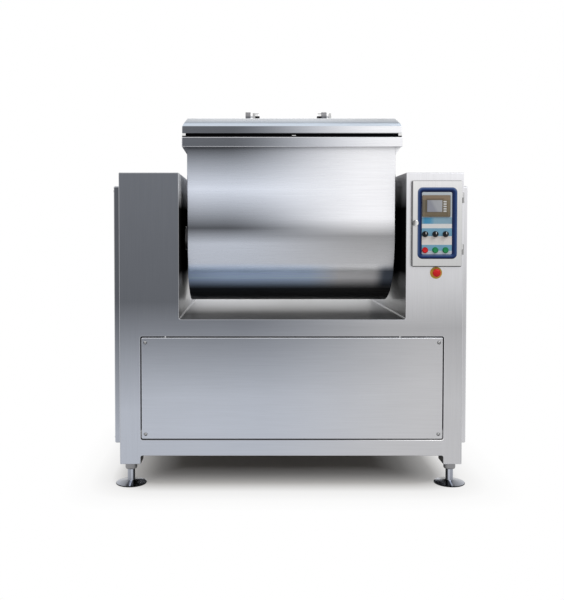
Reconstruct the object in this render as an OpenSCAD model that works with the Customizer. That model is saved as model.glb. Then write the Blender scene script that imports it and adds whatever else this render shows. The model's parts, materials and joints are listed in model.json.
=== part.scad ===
// A free-standing vacuum dough mixer: a steel housing of two columns over a low base, and between
// the columns a tipping trough with a lid, kneaded by bars on a shaft along the trough's axis.
// X runs to the viewer's right, Y runs back, Z runs up. The origin is on the floor, under the
// middle of the whole machine.

/* [Housing] */
// Width of the housing over its columns
body_w = 1724; // [1600:1:1900]
// Depth of the housing, front face to rear face
body_d = 1150; // [1130:1:1300]
// Height of the saddle floor between the columns
saddle_z = 842; // [838:1:846]
// Height of the columns above the saddle floor
column_h = 735; // [720:1:780]
// Width of the left column
left_column_w = 300; // [290:1:308]
// Width of the right column, which holds the controls
right_column_w = 288; // [286:1:305]
// Thickness of the housing's sheet
skin_t = 3; // [2:0.5:4]

/* [Base] */
// Height of the legs' lower ends above the floor
leg_z = 109; // [100:1:120]
// Width of the left corner posts
left_post_w = 105; // [95:1:115]
// Width of the right corner posts
right_post_w = 94; // [90:1:115]
// Depth of each corner post
post_d = 100; // [90:1:180]
// Distance from the legs' lower ends to the bottom rails
rail_up = 43; // [30:1:55]
// Height of the bottom rails
rail_h = 125; // [110:1:135]
// Height of the top rails, front and rear
top_rail_h = 123; // [110:1:135]
// Distance from the bottom rails' underside to the front panel's opening
panel_up = 81; // [75:1:100]
// Distance from the front panel's opening up to the saddle floor
panel_down = 86; // [75:1:100]
// Thickness of the screwed panels
panel_t = 2; // [1.5:0.5:3]
// Width of the groove round the front and rear panels
panel_gap = 5; // [3:0.5:8]

/* [Side covers] */
// How far a side cover stands out of the column
cover_out = 35; // [25:1:45]
// Distance from a side cover to the front and rear faces
cover_inset = 60; // [45:1:70]
// Distance from the bottom rails' underside to the side covers
cover_up = 53; // [40:1:65]
// Distance from the side covers up to the column tops
cover_down = 64; // [50:1:80]

/* [Feet] */
// Radius of a foot's disc
foot_disc_r = 78; // [60:1:85]
// Radius of a foot's post
foot_post_r = 19; // [14:1:24]
// Radius of the collar round a foot's post
foot_collar_r = 30; // [28:1:40]
// Distance from a foot's centre to the front and outer faces
foot_inset = 50; // [48:1:60]

/* [Trough] */
// Outer radius of the trough's round bottom
trough_r = 340; // [320:1:345]
// Distance from each end of the trough to the column beside it
trough_side_gap = 33; // [28:0.5:40]
// Distance from the front face to the trough's axis
trough_axis_d = 450; // [440:1:470]
// Distance from the saddle floor to the trough's round bottom
trough_floor_gap = 63; // [50:1:80]
// Thickness of the trough's sheet
trough_t = 6; // [4:0.5:8]
// Thickness of the trough's end plates
end_t = 8; // [6:0.5:12]
// Height of the rim's upper face above the trough's axis
rim_up = 515; // [500:1:540]
// Height of the rim bar
rim_h = 49; // [45:1:52]
// How far the rim stands out in front of the trough's sheet
rim_out = 58; // [50:1:58]
// How far the rim stands out past the trough's ends
rim_end_out = 23; // [15:1:24]

/* [Lid] */
// Height of the gap between the rim and the lid
seal_gap = 19; // [15:1:22]
// Height of the lid's upright edge
lid_edge_h = 36; // [30:1:40]
// Height of the lid's first bevel
lid_bevel_h = 15; // [10:1:20]
// Height of the lid's second bevel
lid_slope_h = 30; // [20:1:32]
// How far the first bevel draws in
lid_bevel_in = 8; // [5:1:12]
// How far the second bevel draws in at the ends
lid_end_slope_in = 14; // [10:1:30]
// How far the second bevel draws in at the front and rear
lid_slope_in = 60; // [40:1:80]
// Thickness of the lid's sheet
lid_t = 4; // [3:0.5:5]
// Radius of the lid's pins
lid_pin_r = 9; // [7:0.5:12]
// Height of the lid's pins above the lid's top
lid_pin_up = 62; // [56:1:70]
// Thickness of the lid's arms
arm_t = 28; // [22:1:30]
// Half the height of the lid's arms
arm_r = 22; // [18:1:22]
// Distance between an arm and the lug beside it
lug_gap = 12; // [10:1:15]
// Thickness of the lid's lugs
lug_t = 14; // [10:1:16]
// Distance of the two lid fittings' outer sides from the trough's middle
fitting_out = 237; // [225:1:245]

/* [Agitator] */
// Radius of the agitator's shaft
shaft_r = 35; // [30:1:38]
// Distance between the spiders' ends and the trough's sheet
bar_gap = 14; // [8:1:25]
// Radius of a kneading bar
bar_r = 28; // [20:1:30]
// Thickness of the arms that hold the bars
spider_t = 40; // [30:1:50]

/* [Drive] */
// Outer radius of the driven pulley
driven_r = 200; // [180:1:205]
// Outer radius of the motor's pulley
motor_pulley_r = 80; // [70:1:90]
// Number of belts
belts = 3; // [2:1:4]
// Height of the motor's axis above the machinery deck
motor_up = 147; // [142:1:156]

/* [Controls] */
// Height of the control door
door_h = 430; // [424:1:440]
// Distance from the control door up to the column's top
door_down = 40; // [36:1:60]
// How far the door's front stands in front of the column
door_d = 16; // [14:1:20]
// Radius of the push buttons' and selectors' rings
operator_r = 15; // [14:0.5:16]
// Distance between neighbouring buttons
operator_pitch = 51; // [45:1:52]
// Travel of a push button
button_travel = 4; // [3:0.5:4.5]
// Travel of the emergency stop
estop_travel = 5; // [4:0.5:6]

/* [Hidden] */
$fn = 64;

// Clearance of a shaft in its bore
running = 0.05;
// Clearance between pieces that pass each other
clear = 0.3;
// How far a cut runs past the face that it opens
over = 5;

// Panel screws, hidden frame sections and small housing sizes
screw_head_r = 7;
screw_head_h = 3;
screw_inset_x = 20;
screw_inset_z = 25;
tube_t = 4;
rail_d = 60;
side_rail_w = 60;
side_top_rail_h = 57;
foot_plate_t = 8;
foot_disc_t = 7;
foot_nut_up = 30;
foot_collar_h = 26;
return_d = 100;
inner_plate_t = 8;
deck_t = 6;
cover_t = 2;

// Trunnions, bearings and bushes
trunnion_r = 65;
trunnion_flange_r = 130;
trunnion_flange_t = 12;
trunnion_bore_r = 45;
trunnion_left_l = 114;
trunnion_right_l = 180;
plate_hole_clear = 5;
bearing_r = 95;
bearing_l = 50;
bearing_flange_w = 230;
bearing_flange_t = 18;
bolt_r = 9;
bolt_h = 10;
bolt_edge = 24;
seal_ring_l = 30;

// Belt drive
pulley_w = 66;
pulley_x_gap = 100;
groove_w = 13;
groove_depth = 12;
groove_pitch = 20;
belt_w = 12;
belt_t = 12;
belt_seat = 0.4;
shaft_end = 20;
motor_shaft_r = 30;
motor_shaft_seat = 40;
machinery_shares = [0, 0.18, 0.52, 0.55, 0.73, 1];
machinery_from_side = 382;
gearbox_w = 220;
gearbox_h = 280;
motor_r = 115;
motor_foot_w = 160;
motor_gap = 75;

// Tilt drive
reducer_x_gap = 12;
reducer_t = 90;
reducer_w = 220;
reducer_h = 250;
reducer_leg_w = 60;
tilt_motor_r = 70;
tilt_motor_l = 240;
tilt_motor_drop = 60;

// Vacuum pump and its pipe
pump_w = 240;
pump_h = 210;
pump_motor_r = 85;
pump_back = 40;
pipe_r = 20;
pipe_out = 87;
pipe_up = 137;
union_r = 60;
union_l = 20;

// Lid, its seal, lugs, pins and hinge
lid_side_in = 3;
seal_in = 13;
seal_w = 20;
seal_lift = 0.3;
lug_r = 18;
dome_r = 16;
dome_l = 26;
dome_cap_r = 20;
hinge_out = 42;
hinge_up = 12;
hinge_shaft_r = 14;
hinge_shaft_past = 43;
arm_bend_in = 58;
bracket_t = 20;
bracket_r = 24;
bracket_gap = 6;
locator_w = 18;
locator_d = 12;
tab_w = 20;
tab_h = 9;
gusset_h = 35;

// Agitator
spider_gap = 30;
spider_hub_r = 60;
spider_arm_r = 24;
spider_eye_r = 32;
first_bar_angle = 30;
bar_angle_step = 120;

// Control door and what is on it; sizes are measured from the door's left and lower edges
door_left = 26;
door_right = 13;
door_standoff = 0.5;
door_skin_t = 2;
door_corner_r = 9;
cutout_in = 8;
cabinet_out = 12;
cabinet_depth = 160;
cabinet_t = 2;
frame_left = 27.5;
frame_right = 24.6;
frame_low = 39.5;
frame_up = 34.5;
frame_t = 3;
frame_corner_r = 25;
plate_left = 48.5;
plate_right = 50.5;
plate_low = 62.5;
plate_up = 58.5;
plate_t = 2;
plate_corner_r = 6;
hmi_left = 49.5;
hmi_right = 60;
hmi_t = 6;
screen_left = 73.5;
screen_right = 100.5;
screen_t = 1.5;
screen_sunk = 0.5;
key_right = 79.7;
key_w = 15.5;
key_share = 0.6;
key_t = 1;
keys = 5;
operator_x = 115.5;
row_edge = 5.5;
door_shares = [0.277296, 0.575390, 0.658579, 0.863085, 0.946274];
ring_h = 6;
operator_bore_r = 12;
button_proud = 4;
selector_disc_h = 6;
selector_disc_r = 14;
grip_w = 9;
grip_h = 10;
lock_left = 16.5;
lock_up = 218;
lock_r = 15;
lock_h = 6;
lock_stem_r = 6;
tongue_t = 3;
tongue_w = 12;
tongue_l = 15;
tongue_gap = 1;
hinge_axis_out = 6;
knuckle_r = 5;
hinge_pin_r = 3;
knuckle_h = 26;
leaf_t = 3;
leaf_w = 11;
hinge_from_edge = 60;
estop_left = 125;
estop_down = 30.5;
estop_collar_r = 30;
estop_collar_t = 3;
estop_stem_r = 11;
estop_stem_in = 10;
estop_head_r = 20;
estop_neck_gap = 3;
estop_cap_h = 15;

// Cable gland on the rear panel
gland_r = 20;
gland_out = 32;
gland_bore_r = 9;
gland_from_side = 131;
gland_from_top = 90;

// Places that follow from the sizes above
door_face = door_standoff + door_d;
selector_reach = door_face + plate_t + ring_h + clear + selector_disc_h + grip_h;
estop_neck = estop_travel + estop_neck_gap;
estop_reach = estop_neck + estop_cap_h + estop_collar_t;
button_h = ring_h + button_proud - button_travel - clear;
foot_reach = foot_disc_r - foot_inset;
front_reach = max(selector_reach, estop_reach, foot_reach);
rear_reach = max(foot_reach, gland_out);
front_y = (front_reach - rear_reach - body_d) / 2;
rear_y = front_y + body_d;
side_x = body_w / 2;
left_in_x = -side_x + left_column_w;
right_in_x = side_x - right_column_w;
mid_x = (left_in_x + right_in_x) / 2;
frame_top_z = saddle_z - skin_t;
column_top_z = saddle_z + column_h;
rail_z = leg_z + rail_up;
cover_z = rail_z + cover_up;
cover_top_z = column_top_z - cover_down;
panel_z = rail_z + panel_up;
panel_top_z = saddle_z - panel_down;
rail_x0 = -side_x + left_post_w;
rail_x1 = side_x - right_post_w;
panel_x0 = rail_x0 + panel_gap;
panel_x1 = rail_x1 - panel_gap;
panel_low_z = panel_z + panel_gap;
panel_high_z = panel_top_z - panel_gap;
rail_top_z = rail_z + rail_h;
deck_z = rail_top_z + deck_t;
axis_y = front_y + trough_axis_d;
axis_z = saddle_z + trough_floor_gap + trough_r;
trough_x0 = left_in_x + trough_side_gap;
trough_x1 = right_in_x - trough_side_gap;
trough_l = trough_x1 - trough_x0;
rim_top_z = axis_z + rim_up;
rim_x0 = trough_x0 - rim_end_out;
rim_x1 = trough_x1 + rim_end_out;
rim_half_d = trough_r + rim_out;
rim_z = rim_top_z - rim_h;
lid_z = rim_top_z + seal_gap;
lid_half_d = rim_half_d - lid_side_in;
lid_half_w = (rim_x1 - rim_x0) / 2 - lid_side_in;
lid_edge_z = lid_z + lid_edge_h;
lid_bevel_z = lid_edge_z + lid_bevel_h;
lid_top_z = lid_bevel_z + lid_slope_h;
lid_pin_z = lid_top_z + lid_pin_up;
hinge_y = axis_y + rim_half_d + hinge_out;
hinge_z = rim_top_z + hinge_up;
left_arm_x = mid_x - fitting_out;
right_arm_x = mid_x + fitting_out - lug_t - lug_gap - arm_t;
pulley_x1 = left_in_x - inner_plate_t - bearing_l - pulley_x_gap + pulley_w / 2 - over;
pulley_x0 = pulley_x1 - pulley_w;
trunnion_x0 = trough_x0 - trunnion_left_l;
trunnion_x1 = trough_x1 + trunnion_right_l;
spider_x = trough_l / 2 - end_t - spider_gap;
bar_orbit_r = trough_r - trough_t - bar_gap - spider_eye_r;
motor_z = deck_z + motor_up;
pipe_z = deck_z + pipe_up;
gearbox_x0 = left_in_x - motor_gap;
machinery_l = side_x - machinery_from_side - gearbox_x0;
motor_x0 = gearbox_x0 + machinery_shares[1] * machinery_l;
motor_x1 = gearbox_x0 + machinery_shares[2] * machinery_l;
pump_motor_x = gearbox_x0 + machinery_shares[3] * machinery_l;
pump_x0 = gearbox_x0 + machinery_shares[4] * machinery_l;
pump_x1 = gearbox_x0 + machinery_shares[5] * machinery_l;
door_x = right_in_x + door_left;
door_x1 = side_x - door_right;
door_w = door_x1 - door_x;
door_z = column_top_z - door_down - door_h;
frame_w = door_w - frame_left - frame_right;
frame_h = door_h - frame_low - frame_up;
plate_w = door_w - plate_left - plate_right;
plate_h = door_h - plate_low - plate_up;
hmi_w = door_w - hmi_left - hmi_right;
button_row = plate_low + operator_r + row_edge;
rows_h = door_h - plate_up - button_row;
selector_row = button_row + door_shares[0] * rows_h;
hmi_low = button_row + door_shares[1] * rows_h;
screen_low = button_row + door_shares[2] * rows_h;
screen_h = button_row + door_shares[3] * rows_h - screen_low;
hmi_h = button_row + door_shares[4] * rows_h - hmi_low;
key_pitch = screen_h / keys;
key_h = key_share * key_pitch;
screen_w = door_w - screen_left - screen_right;
key_x = door_x1 - key_right - key_w;
estop_x = door_x + estop_left;
estop_z = door_z - estop_down;
door_y = front_y - door_face;
plate_y = door_y - plate_t;
operator_mid_x = door_x + operator_x;
door_axis_x = door_x1 + hinge_axis_out;
door_axis_y = front_y - door_d / 2;
foot_xs = [-side_x + foot_inset, side_x - foot_inset];
foot_ys = [front_y + foot_inset, rear_y - foot_inset];

module block(x0, x1, y0, y1, z0, z1) {
    translate([x0, y0, z0]) cube([x1 - x0, y1 - y0, z1 - z0]);
}

module rod_x(x0, x1, y, z, r) {
    translate([x0, y, z]) rotate([0, 90, 0]) cylinder(h = x1 - x0, r = r);
}

module rod_y(x, y0, y1, z, r) {
    translate([x, y0, z]) rotate([-90, 0, 0]) cylinder(h = y1 - y0, r = r);
}

module rod_z(x, y, z0, z1, r) {
    translate([x, y, z0]) cylinder(h = z1 - z0, r = r);
}

// Extrudes an outline drawn in Y and Z along X
module along_x(x0, x1) {
    translate([x0, 0, 0]) rotate([90, 0, 90]) linear_extrude(x1 - x0) children();
}

// Extrudes an outline drawn in X and Z along Y
module along_y(y0, y1) {
    translate([0, y1, 0]) rotate([90, 0, 0]) linear_extrude(y1 - y0) children();
}

// A box section along X, Y or Z, open at its ends
module tube_x(x0, x1, y0, y1, z0, z1) {
    difference() {
        block(x0, x1, y0, y1, z0, z1);
        block(x0 - over, x1 + over, y0 + tube_t, y1 - tube_t, z0 + tube_t, z1 - tube_t);
    }
}

module tube_y(x0, x1, y0, y1, z0, z1) {
    difference() {
        block(x0, x1, y0, y1, z0, z1);
        block(x0 + tube_t, x1 - tube_t, y0 - over, y1 + over, z0 + tube_t, z1 - tube_t);
    }
}

// A flat bar with round ends from p to q
module link(p, q, r) {
    d = q - p;
    n = r * [-d[1], d[0]] / norm(d);
    translate(p) circle(r);
    translate(q) circle(r);
    polygon([p + n, p - n, q - n, q + n]);
}

module round_rect(x0, z0, w, h, r) {
    translate([x0 + r, z0]) square([w - 2 * r, h]);
    translate([x0, z0 + r]) square([w, h - 2 * r]);
    for (x = [x0 + r, x0 + w - r], z = [z0 + r, z0 + h - r]) translate([x, z]) circle(r);
}

// Draws its children and their mirror image across the machine's middle depth
module front_and_rear() {
    children();
    translate([0, front_y + rear_y, 0]) mirror([0, 1, 0]) children();
}

module left_and_right() {
    children();
    mirror([1, 0, 0]) children();
}

module frame_posts() {
    color("silver") front_and_rear() for (side = [0, 1]) {
        x0 = side == 0 ? -side_x : rail_x1;
        x1 = side == 0 ? rail_x0 : side_x;
        difference() {
            block(x0, x1, front_y, front_y + post_d, leg_z, frame_top_z);
            block(x0 + tube_t, x1 - tube_t, front_y + tube_t, front_y + post_d - tube_t,
                leg_z + foot_plate_t, frame_top_z + over);
            rod_z(foot_xs[side], foot_ys[0], leg_z - over, leg_z + foot_plate_t + over,
                foot_post_r + clear);
        }
    }
}

module frame_rails() {
    color("silver") {
        front_and_rear() difference() {
            for (z = [rail_z, frame_top_z - top_rail_h])
                tube_x(rail_x0, rail_x1, front_y, front_y + rail_d, z,
                    z == rail_z ? rail_top_z : frame_top_z);
            block(-side_x, side_x, front_y - over, front_y + panel_t, panel_z, panel_top_z);
        }
        left_and_right() {
            tube_y(-side_x, -side_x + side_rail_w, front_y + post_d, rear_y - post_d, rail_z,
                rail_top_z);
            tube_y(-side_x, -side_x + side_rail_w, front_y + post_d, rear_y - post_d,
                frame_top_z - side_top_rail_h, frame_top_z);
        }
        for (x = [left_in_x - side_rail_w, right_in_x])
            tube_y(x, x + side_rail_w, front_y + rail_d + clear, rear_y - rail_d - clear,
                frame_top_z - side_top_rail_h, frame_top_z);
    }
}

module machinery_deck() {
    color("dimgray")
        block(rail_x0, rail_x1, front_y + rail_d / 2, rear_y - rail_d / 2, rail_top_z, deck_z);
}

module saddle_pan() {
    color("gainsboro") block(left_in_x, right_in_x, front_y, rear_y, frame_top_z, saddle_z);
}

// One face of a column, folded round its outer edge
module column_face(x_out, x_in) {
    s = sign(x_in - x_out);
    block(min(x_out, x_in), max(x_out, x_in), front_y, front_y + skin_t, frame_top_z,
        column_top_z - skin_t);
    block(min(x_out, x_out + s * skin_t), max(x_out, x_out + s * skin_t), front_y,
        front_y + return_d, frame_top_z, column_top_z - skin_t);
}

module column_front_plates() {
    color("silver") {
        column_face(-side_x, left_in_x);
        difference() {
            column_face(side_x, right_in_x);
            block(door_x + cutout_in, door_x1 - cutout_in, front_y - over,
                front_y + skin_t + over, door_z + cutout_in, door_z + door_h - cutout_in);
            rod_y(estop_x, front_y - over, front_y + skin_t + over, estop_z,
                estop_stem_r + clear);
        }
    }
}

module column_rear_plates() {
    color("silver") translate([0, front_y + rear_y, 0]) mirror([0, 1, 0]) {
        column_face(-side_x, left_in_x);
        column_face(side_x, right_in_x);
    }
}

// The top sheet of a column, folded down along its outer edge
module column_top(x_out, x_in) {
    s = sign(x_in - x_out);
    block(min(x_out, x_in), max(x_out, x_in), front_y, rear_y, column_top_z - skin_t,
        column_top_z);
    block(min(x_out, x_out + s * skin_t), max(x_out, x_out + s * skin_t), front_y + return_d,
        rear_y - return_d, column_top_z - return_d, column_top_z);
}

module column_top_plates() {
    color("silver") {
        column_top(-side_x, left_in_x);
        column_top(side_x, right_in_x);
    }
}

// The heavy inner plate of each column, which carries a trunnion's bearing
module column_inner_plates() {
    color("lightgray") for (x = [left_in_x - inner_plate_t, right_in_x]) difference() {
        block(x, x + inner_plate_t, front_y + skin_t, rear_y - skin_t, frame_top_z,
            column_top_z - skin_t);
        rod_x(x - over, x + inner_plate_t + over, axis_y, axis_z,
            trunnion_r + plate_hole_clear);
    }
}

module front_panel() {
    color("lightgray")
        block(panel_x0, panel_x1, front_y, front_y + panel_t, panel_low_z, panel_high_z);
}

module rear_panel() {
    color("lightgray") difference() {
        block(panel_x0, panel_x1, rear_y - panel_t, rear_y, panel_low_z, panel_high_z);
        rod_y(panel_x1 - gland_from_side, rear_y - panel_t - over, rear_y + over,
            panel_high_z - gland_from_top, gland_bore_r);
    }
}

// A shallow pan over the open outer side of a column and the base below it
module side_cover() {
    difference() {
        block(-side_x - cover_out, -side_x, front_y + cover_inset, rear_y - cover_inset, cover_z,
            cover_top_z);
        block(-side_x - cover_out + cover_t, -side_x + over, front_y + cover_inset + cover_t,
            rear_y - cover_inset - cover_t, cover_z + cover_t, cover_top_z - cover_t);
    }
}

module left_side_cover() {
    color("lightgray") side_cover();
}

module right_side_cover() {
    color("lightgray") mirror([1, 0, 0]) side_cover();
}

// The screws of the front and rear panels and of the two side covers
module cover_screws() {
    color("gray") {
        front_and_rear() for (x = [panel_x0 + screw_inset_x, panel_x1 - screw_inset_x],
                z = [panel_low_z + screw_inset_z, panel_high_z - screw_inset_z])
            rod_y(x, front_y - screw_head_h, front_y, z, screw_head_r);
        left_and_right() for (y = [front_y + cover_inset + screw_inset_x,
                rear_y - cover_inset - screw_inset_x],
                z = [cover_z + screw_inset_z, cover_top_z - screw_inset_z])
            rod_x(-side_x - cover_out - screw_head_h, -side_x - cover_out, y, z, screw_head_r);
    }
}

module foot_collars() {
    color("gray") for (x = foot_xs, y = foot_ys) difference() {
        rod_z(x, y, leg_z - foot_collar_h, leg_z, foot_collar_r);
        rod_z(x, y, leg_z - foot_collar_h - over, leg_z + over, foot_post_r + clear);
    }
}

module feet() {
    color("silver") for (x = foot_xs, y = foot_ys) {
        rod_z(x, y, 0, foot_disc_t, foot_disc_r);
        rod_z(x, y, 0, leg_z + foot_plate_t + foot_nut_up, foot_post_r);
    }
}

// A flanged bearing on the column side of an inner plate; out is -1 on the left, 1 on the right
module bearing(x, out) {
    difference() {
        union() {
            block(min(x, x + out * bearing_flange_t), max(x, x + out * bearing_flange_t),
                axis_y - bearing_flange_w / 2, axis_y + bearing_flange_w / 2,
                axis_z - bearing_flange_w / 2, axis_z + bearing_flange_w / 2);
            rod_x(min(x, x + out * bearing_l), max(x, x + out * bearing_l), axis_y, axis_z,
                bearing_r);
        }
        rod_x(x - bearing_l - over, x + bearing_l + over, axis_y, axis_z,
            trunnion_r + running);
    }
}

module trunnion_bearings() {
    color("slategray") {
        bearing(left_in_x - inner_plate_t, -1);
        bearing(right_in_x + inner_plate_t, 1);
    }
}

module bearing_bolts() {
    a = bearing_flange_w / 2 - bolt_edge;
    color("gray") for (y = [-a, a], z = [-a, a]) {
        x = left_in_x - inner_plate_t - bearing_flange_t;
        rod_x(x - bolt_h, x, axis_y + y, axis_z + z, bolt_r);
        x1 = right_in_x + inner_plate_t + bearing_flange_t;
        rod_x(x1, x1 + bolt_h, axis_y + y, axis_z + z, bolt_r);
    }
}

module main_gearmotor() {
    color("royalblue") difference() {
        union() {
            block(gearbox_x0, motor_x0, axis_y - gearbox_w / 2, axis_y + gearbox_w / 2, deck_z,
                deck_z + gearbox_h);
            rod_x(motor_x0, motor_x1, axis_y, motor_z, motor_r);
            block(motor_x0, motor_x1, axis_y - motor_foot_w / 2, axis_y + motor_foot_w / 2,
                deck_z, motor_z - motor_r / 2);
        }
        rod_x(gearbox_x0 - over, gearbox_x0 + motor_shaft_seat, axis_y, motor_z,
            motor_shaft_r + running);
    }
}

// The outline of a belt's inside, as radii at the two pulleys, centred on the upper one
module belt_outline(upper_r, lower_r, c) {
    s = (upper_r - lower_r) / c;
    n = [sqrt(1 - s * s), -s];
    m = [-n[0], n[1]];
    lower = [0, -c];
    circle(upper_r);
    translate(lower) circle(lower_r);
    polygon([upper_r * m, upper_r * n, lower + lower_r * n, lower + lower_r * m]);
}

module drive_belts() {
    up = driven_r - groove_depth + belt_seat;
    low = motor_pulley_r - groove_depth + belt_seat;
    c = axis_z - motor_z;
    first = (pulley_x0 + pulley_x1) / 2 - groove_pitch * (belts - 1) / 2;
    color("#222222") for (i = [0 : belts - 1])
        along_x(first + i * groove_pitch - belt_w / 2, first + i * groove_pitch + belt_w / 2)
            translate([axis_y, axis_z]) difference() {
                belt_outline(up + belt_t, low + belt_t, c);
                belt_outline(up, low, c);
            }
}

// A grooved pulley on the axis through y and z
module pulley(y, z, r, bore) {
    first = (pulley_x0 + pulley_x1) / 2 - groove_pitch * (belts - 1) / 2;
    difference() {
        rod_x(pulley_x0, pulley_x1, y, z, r);
        for (i = [0 : belts - 1]) {
            x = first + i * groove_pitch - groove_w / 2;
            difference() {
                rod_x(x, x + groove_w, y, z, r + over);
                rod_x(x - over, x + groove_w + over, y, z, r - groove_depth);
            }
        }
        rod_x(pulley_x0 - over, pulley_x1 + over, y, z, bore);
    }
}

module driven_pulley() {
    color("dimgray") pulley(axis_y, axis_z, driven_r, shaft_r);
}

module motor_pulley() {
    color("dimgray") pulley(axis_y, motor_z, motor_pulley_r, motor_shaft_r);
}

module motor_shaft() {
    color("silver")
        rod_x(pulley_x0 - shaft_end, gearbox_x0 + motor_shaft_seat - clear, axis_y, motor_z,
            motor_shaft_r);
}

// The worm gearbox round the right trunnion, standing on the column's inner bearer
module tilt_reducer() {
    x = right_in_x + inner_plate_t + bearing_l + reducer_x_gap;
    color("royalblue") difference() {
        union() {
            block(x, x + reducer_t, axis_y - reducer_w / 2, axis_y + reducer_w / 2,
                axis_z - reducer_h / 2, axis_z + reducer_h / 2);
            block(right_in_x + inner_plate_t, x + reducer_t, axis_y - reducer_leg_w / 2,
                axis_y + reducer_leg_w / 2, axis_z - reducer_h / 2 - reducer_leg_w,
                axis_z - reducer_h / 2);
        }
        rod_x(x - over, x + reducer_t + over, axis_y, axis_z, trunnion_r + running);
    }
}

module tilt_motor() {
    x = right_in_x + inner_plate_t + bearing_l + reducer_x_gap + reducer_t / 2;
    y = axis_y + reducer_w / 2;
    color("royalblue") rod_y(x, y, y + tilt_motor_l, axis_z - tilt_motor_drop, tilt_motor_r);
}

module vacuum_pump() {
    y = axis_y + pump_back;
    color("steelblue") {
        block(pump_x0, pump_x1, y - pump_w / 2, y + pump_w / 2, deck_z, deck_z + pump_h);
        rod_x(pump_motor_x, pump_x0, y, deck_z + pump_h / 2, pump_motor_r);
        block(pump_motor_x, pump_x0, y - pump_motor_r / 2, y + pump_motor_r / 2, deck_z,
            deck_z + pump_h / 2);
    }
}

// The pipe from the pump to the rotary union on the right trunnion's end
module vacuum_pipe() {
    x = side_x - pipe_out;
    color("gray") {
        rod_x(pump_x1, x, axis_y, pipe_z, pipe_r);
        translate([x, axis_y, pipe_z]) sphere(pipe_r);
        rod_z(x, axis_y, pipe_z, axis_z, pipe_r);
        translate([x, axis_y, axis_z]) sphere(pipe_r);
        rod_x(trunnion_x1 + clear, x, axis_y, axis_z, pipe_r);
        rod_x(trunnion_x1 + clear, trunnion_x1 + clear + union_l - pipe_r / 2, axis_y, axis_z,
            union_r);
    }
}

// The outline of the trough in Y and Z, drawn in by t
module trough_outline(t) {
    r = trough_r - t;
    translate([axis_y, axis_z]) circle(r);
    translate([axis_y - r, axis_z]) square([2 * r, rim_top_z - axis_z + (t > 0 ? over : 0)]);
}

module trough_shell() {
    color("silver") along_x(trough_x0 + end_t, trough_x1 - end_t) difference() {
        trough_outline(0);
        trough_outline(trough_t);
    }
}

module trough_ends() {
    color("silver") {
        for (x = [trough_x0, trough_x1 - end_t]) difference() {
            along_x(x, x + end_t) trough_outline(0);
            rod_x(x - over, x + end_t + over, axis_y, axis_z, trunnion_bore_r);
        }
        for (y = [axis_y - trough_r, axis_y + trough_r - end_t]) {
            along_y(y, y + end_t) polygon([[rim_x0, rim_z], [trough_x0, rim_z],
                [trough_x0, rim_z - gusset_h]]);
            along_y(y, y + end_t) polygon([[rim_x1, rim_z], [trough_x1, rim_z],
                [trough_x1, rim_z - gusset_h]]);
        }
    }
}

module trough_rim() {
    color("silver") difference() {
        block(rim_x0, rim_x1, axis_y - rim_half_d, axis_y + rim_half_d, rim_z, rim_top_z);
        block(trough_x0, trough_x1, axis_y - trough_r, axis_y + trough_r, rim_z - over,
            rim_top_z + over);
    }
}

module trunnions() {
    color("gray") difference() {
        union() {
            rod_x(trough_x0 - trunnion_flange_t, trough_x0, axis_y, axis_z, trunnion_flange_r);
            rod_x(trunnion_x0, trough_x0, axis_y, axis_z, trunnion_r);
            rod_x(trough_x1, trough_x1 + trunnion_flange_t, axis_y, axis_z, trunnion_flange_r);
            rod_x(trough_x1, trunnion_x1, axis_y, axis_z, trunnion_r);
        }
        rod_x(trunnion_x0 - over, trunnion_x1 + over, axis_y, axis_z, trunnion_bore_r);
    }
}

// Bushes with lips that seal the shaft in the trunnions
module shaft_seals() {
    color("#333333") for (x = [trough_x0 - seal_ring_l, trough_x1]) difference() {
        rod_x(x, x + seal_ring_l, axis_y, axis_z, trunnion_bore_r);
        rod_x(x - over, x + seal_ring_l + over, axis_y, axis_z, shaft_r + running);
    }
}

module lid_hinge_brackets() {
    xs = [left_arm_x + arm_t + bracket_gap, right_arm_x - bracket_gap - bracket_t];
    y = axis_y + rim_half_d;
    color("gray") for (x = xs) difference() {
        along_x(x, x + bracket_t) {
            link([y + bracket_r, rim_z + bracket_r], [hinge_y, hinge_z], bracket_r);
            translate([y, rim_z]) square([bracket_r, rim_h]);
        }
        rod_x(x - over, x + bracket_t + over, hinge_y, hinge_z, hinge_shaft_r + running);
    }
}

// Stops in the gap under the lid's corners, and a tab in the middle of its front edge
module lid_locators() {
    y0 = axis_y - rim_half_d;
    y1 = axis_y + rim_half_d;
    color("gainsboro") {
        for (x = [rim_x0 + lid_side_in, rim_x1 - lid_side_in - locator_w],
                y = [y0 + lid_side_in / 2, y1 - locator_d])
            block(x, x + locator_w, y, y + locator_d - lid_side_in / 2, rim_top_z,
                lid_z - seal_lift);
        block(mid_x, mid_x + tab_w, y0 + lid_side_in, y0 + locator_d, rim_top_z,
            rim_top_z + tab_h);
    }
}

// The lid's section across its short side or its long side, drawn in by t
module lid_section(mid, half, slope, t) {
    h = half - t;
    low = t > 0 ? lid_z - over : lid_z;
    b = h - lid_bevel_in;
    s = b - slope;
    polygon([[mid - h, low], [mid + h, low], [mid + h, lid_edge_z], [mid + b, lid_bevel_z - t],
        [mid + s, lid_top_z - t], [mid - s, lid_top_z - t], [mid - b, lid_bevel_z - t],
        [mid - h, lid_edge_z]]);
}

module lid_solid(t) {
    intersection() {
        along_x(mid_x - lid_half_w, mid_x + lid_half_w)
            lid_section(axis_y, lid_half_d, lid_slope_in, t);
        along_y(axis_y - lid_half_d, axis_y + lid_half_d)
            lid_section(mid_x, lid_half_w, lid_end_slope_in, t);
    }
}

module lid_shell() {
    color("silver") difference() {
        lid_solid(0);
        lid_solid(lid_t);
    }
}

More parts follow.
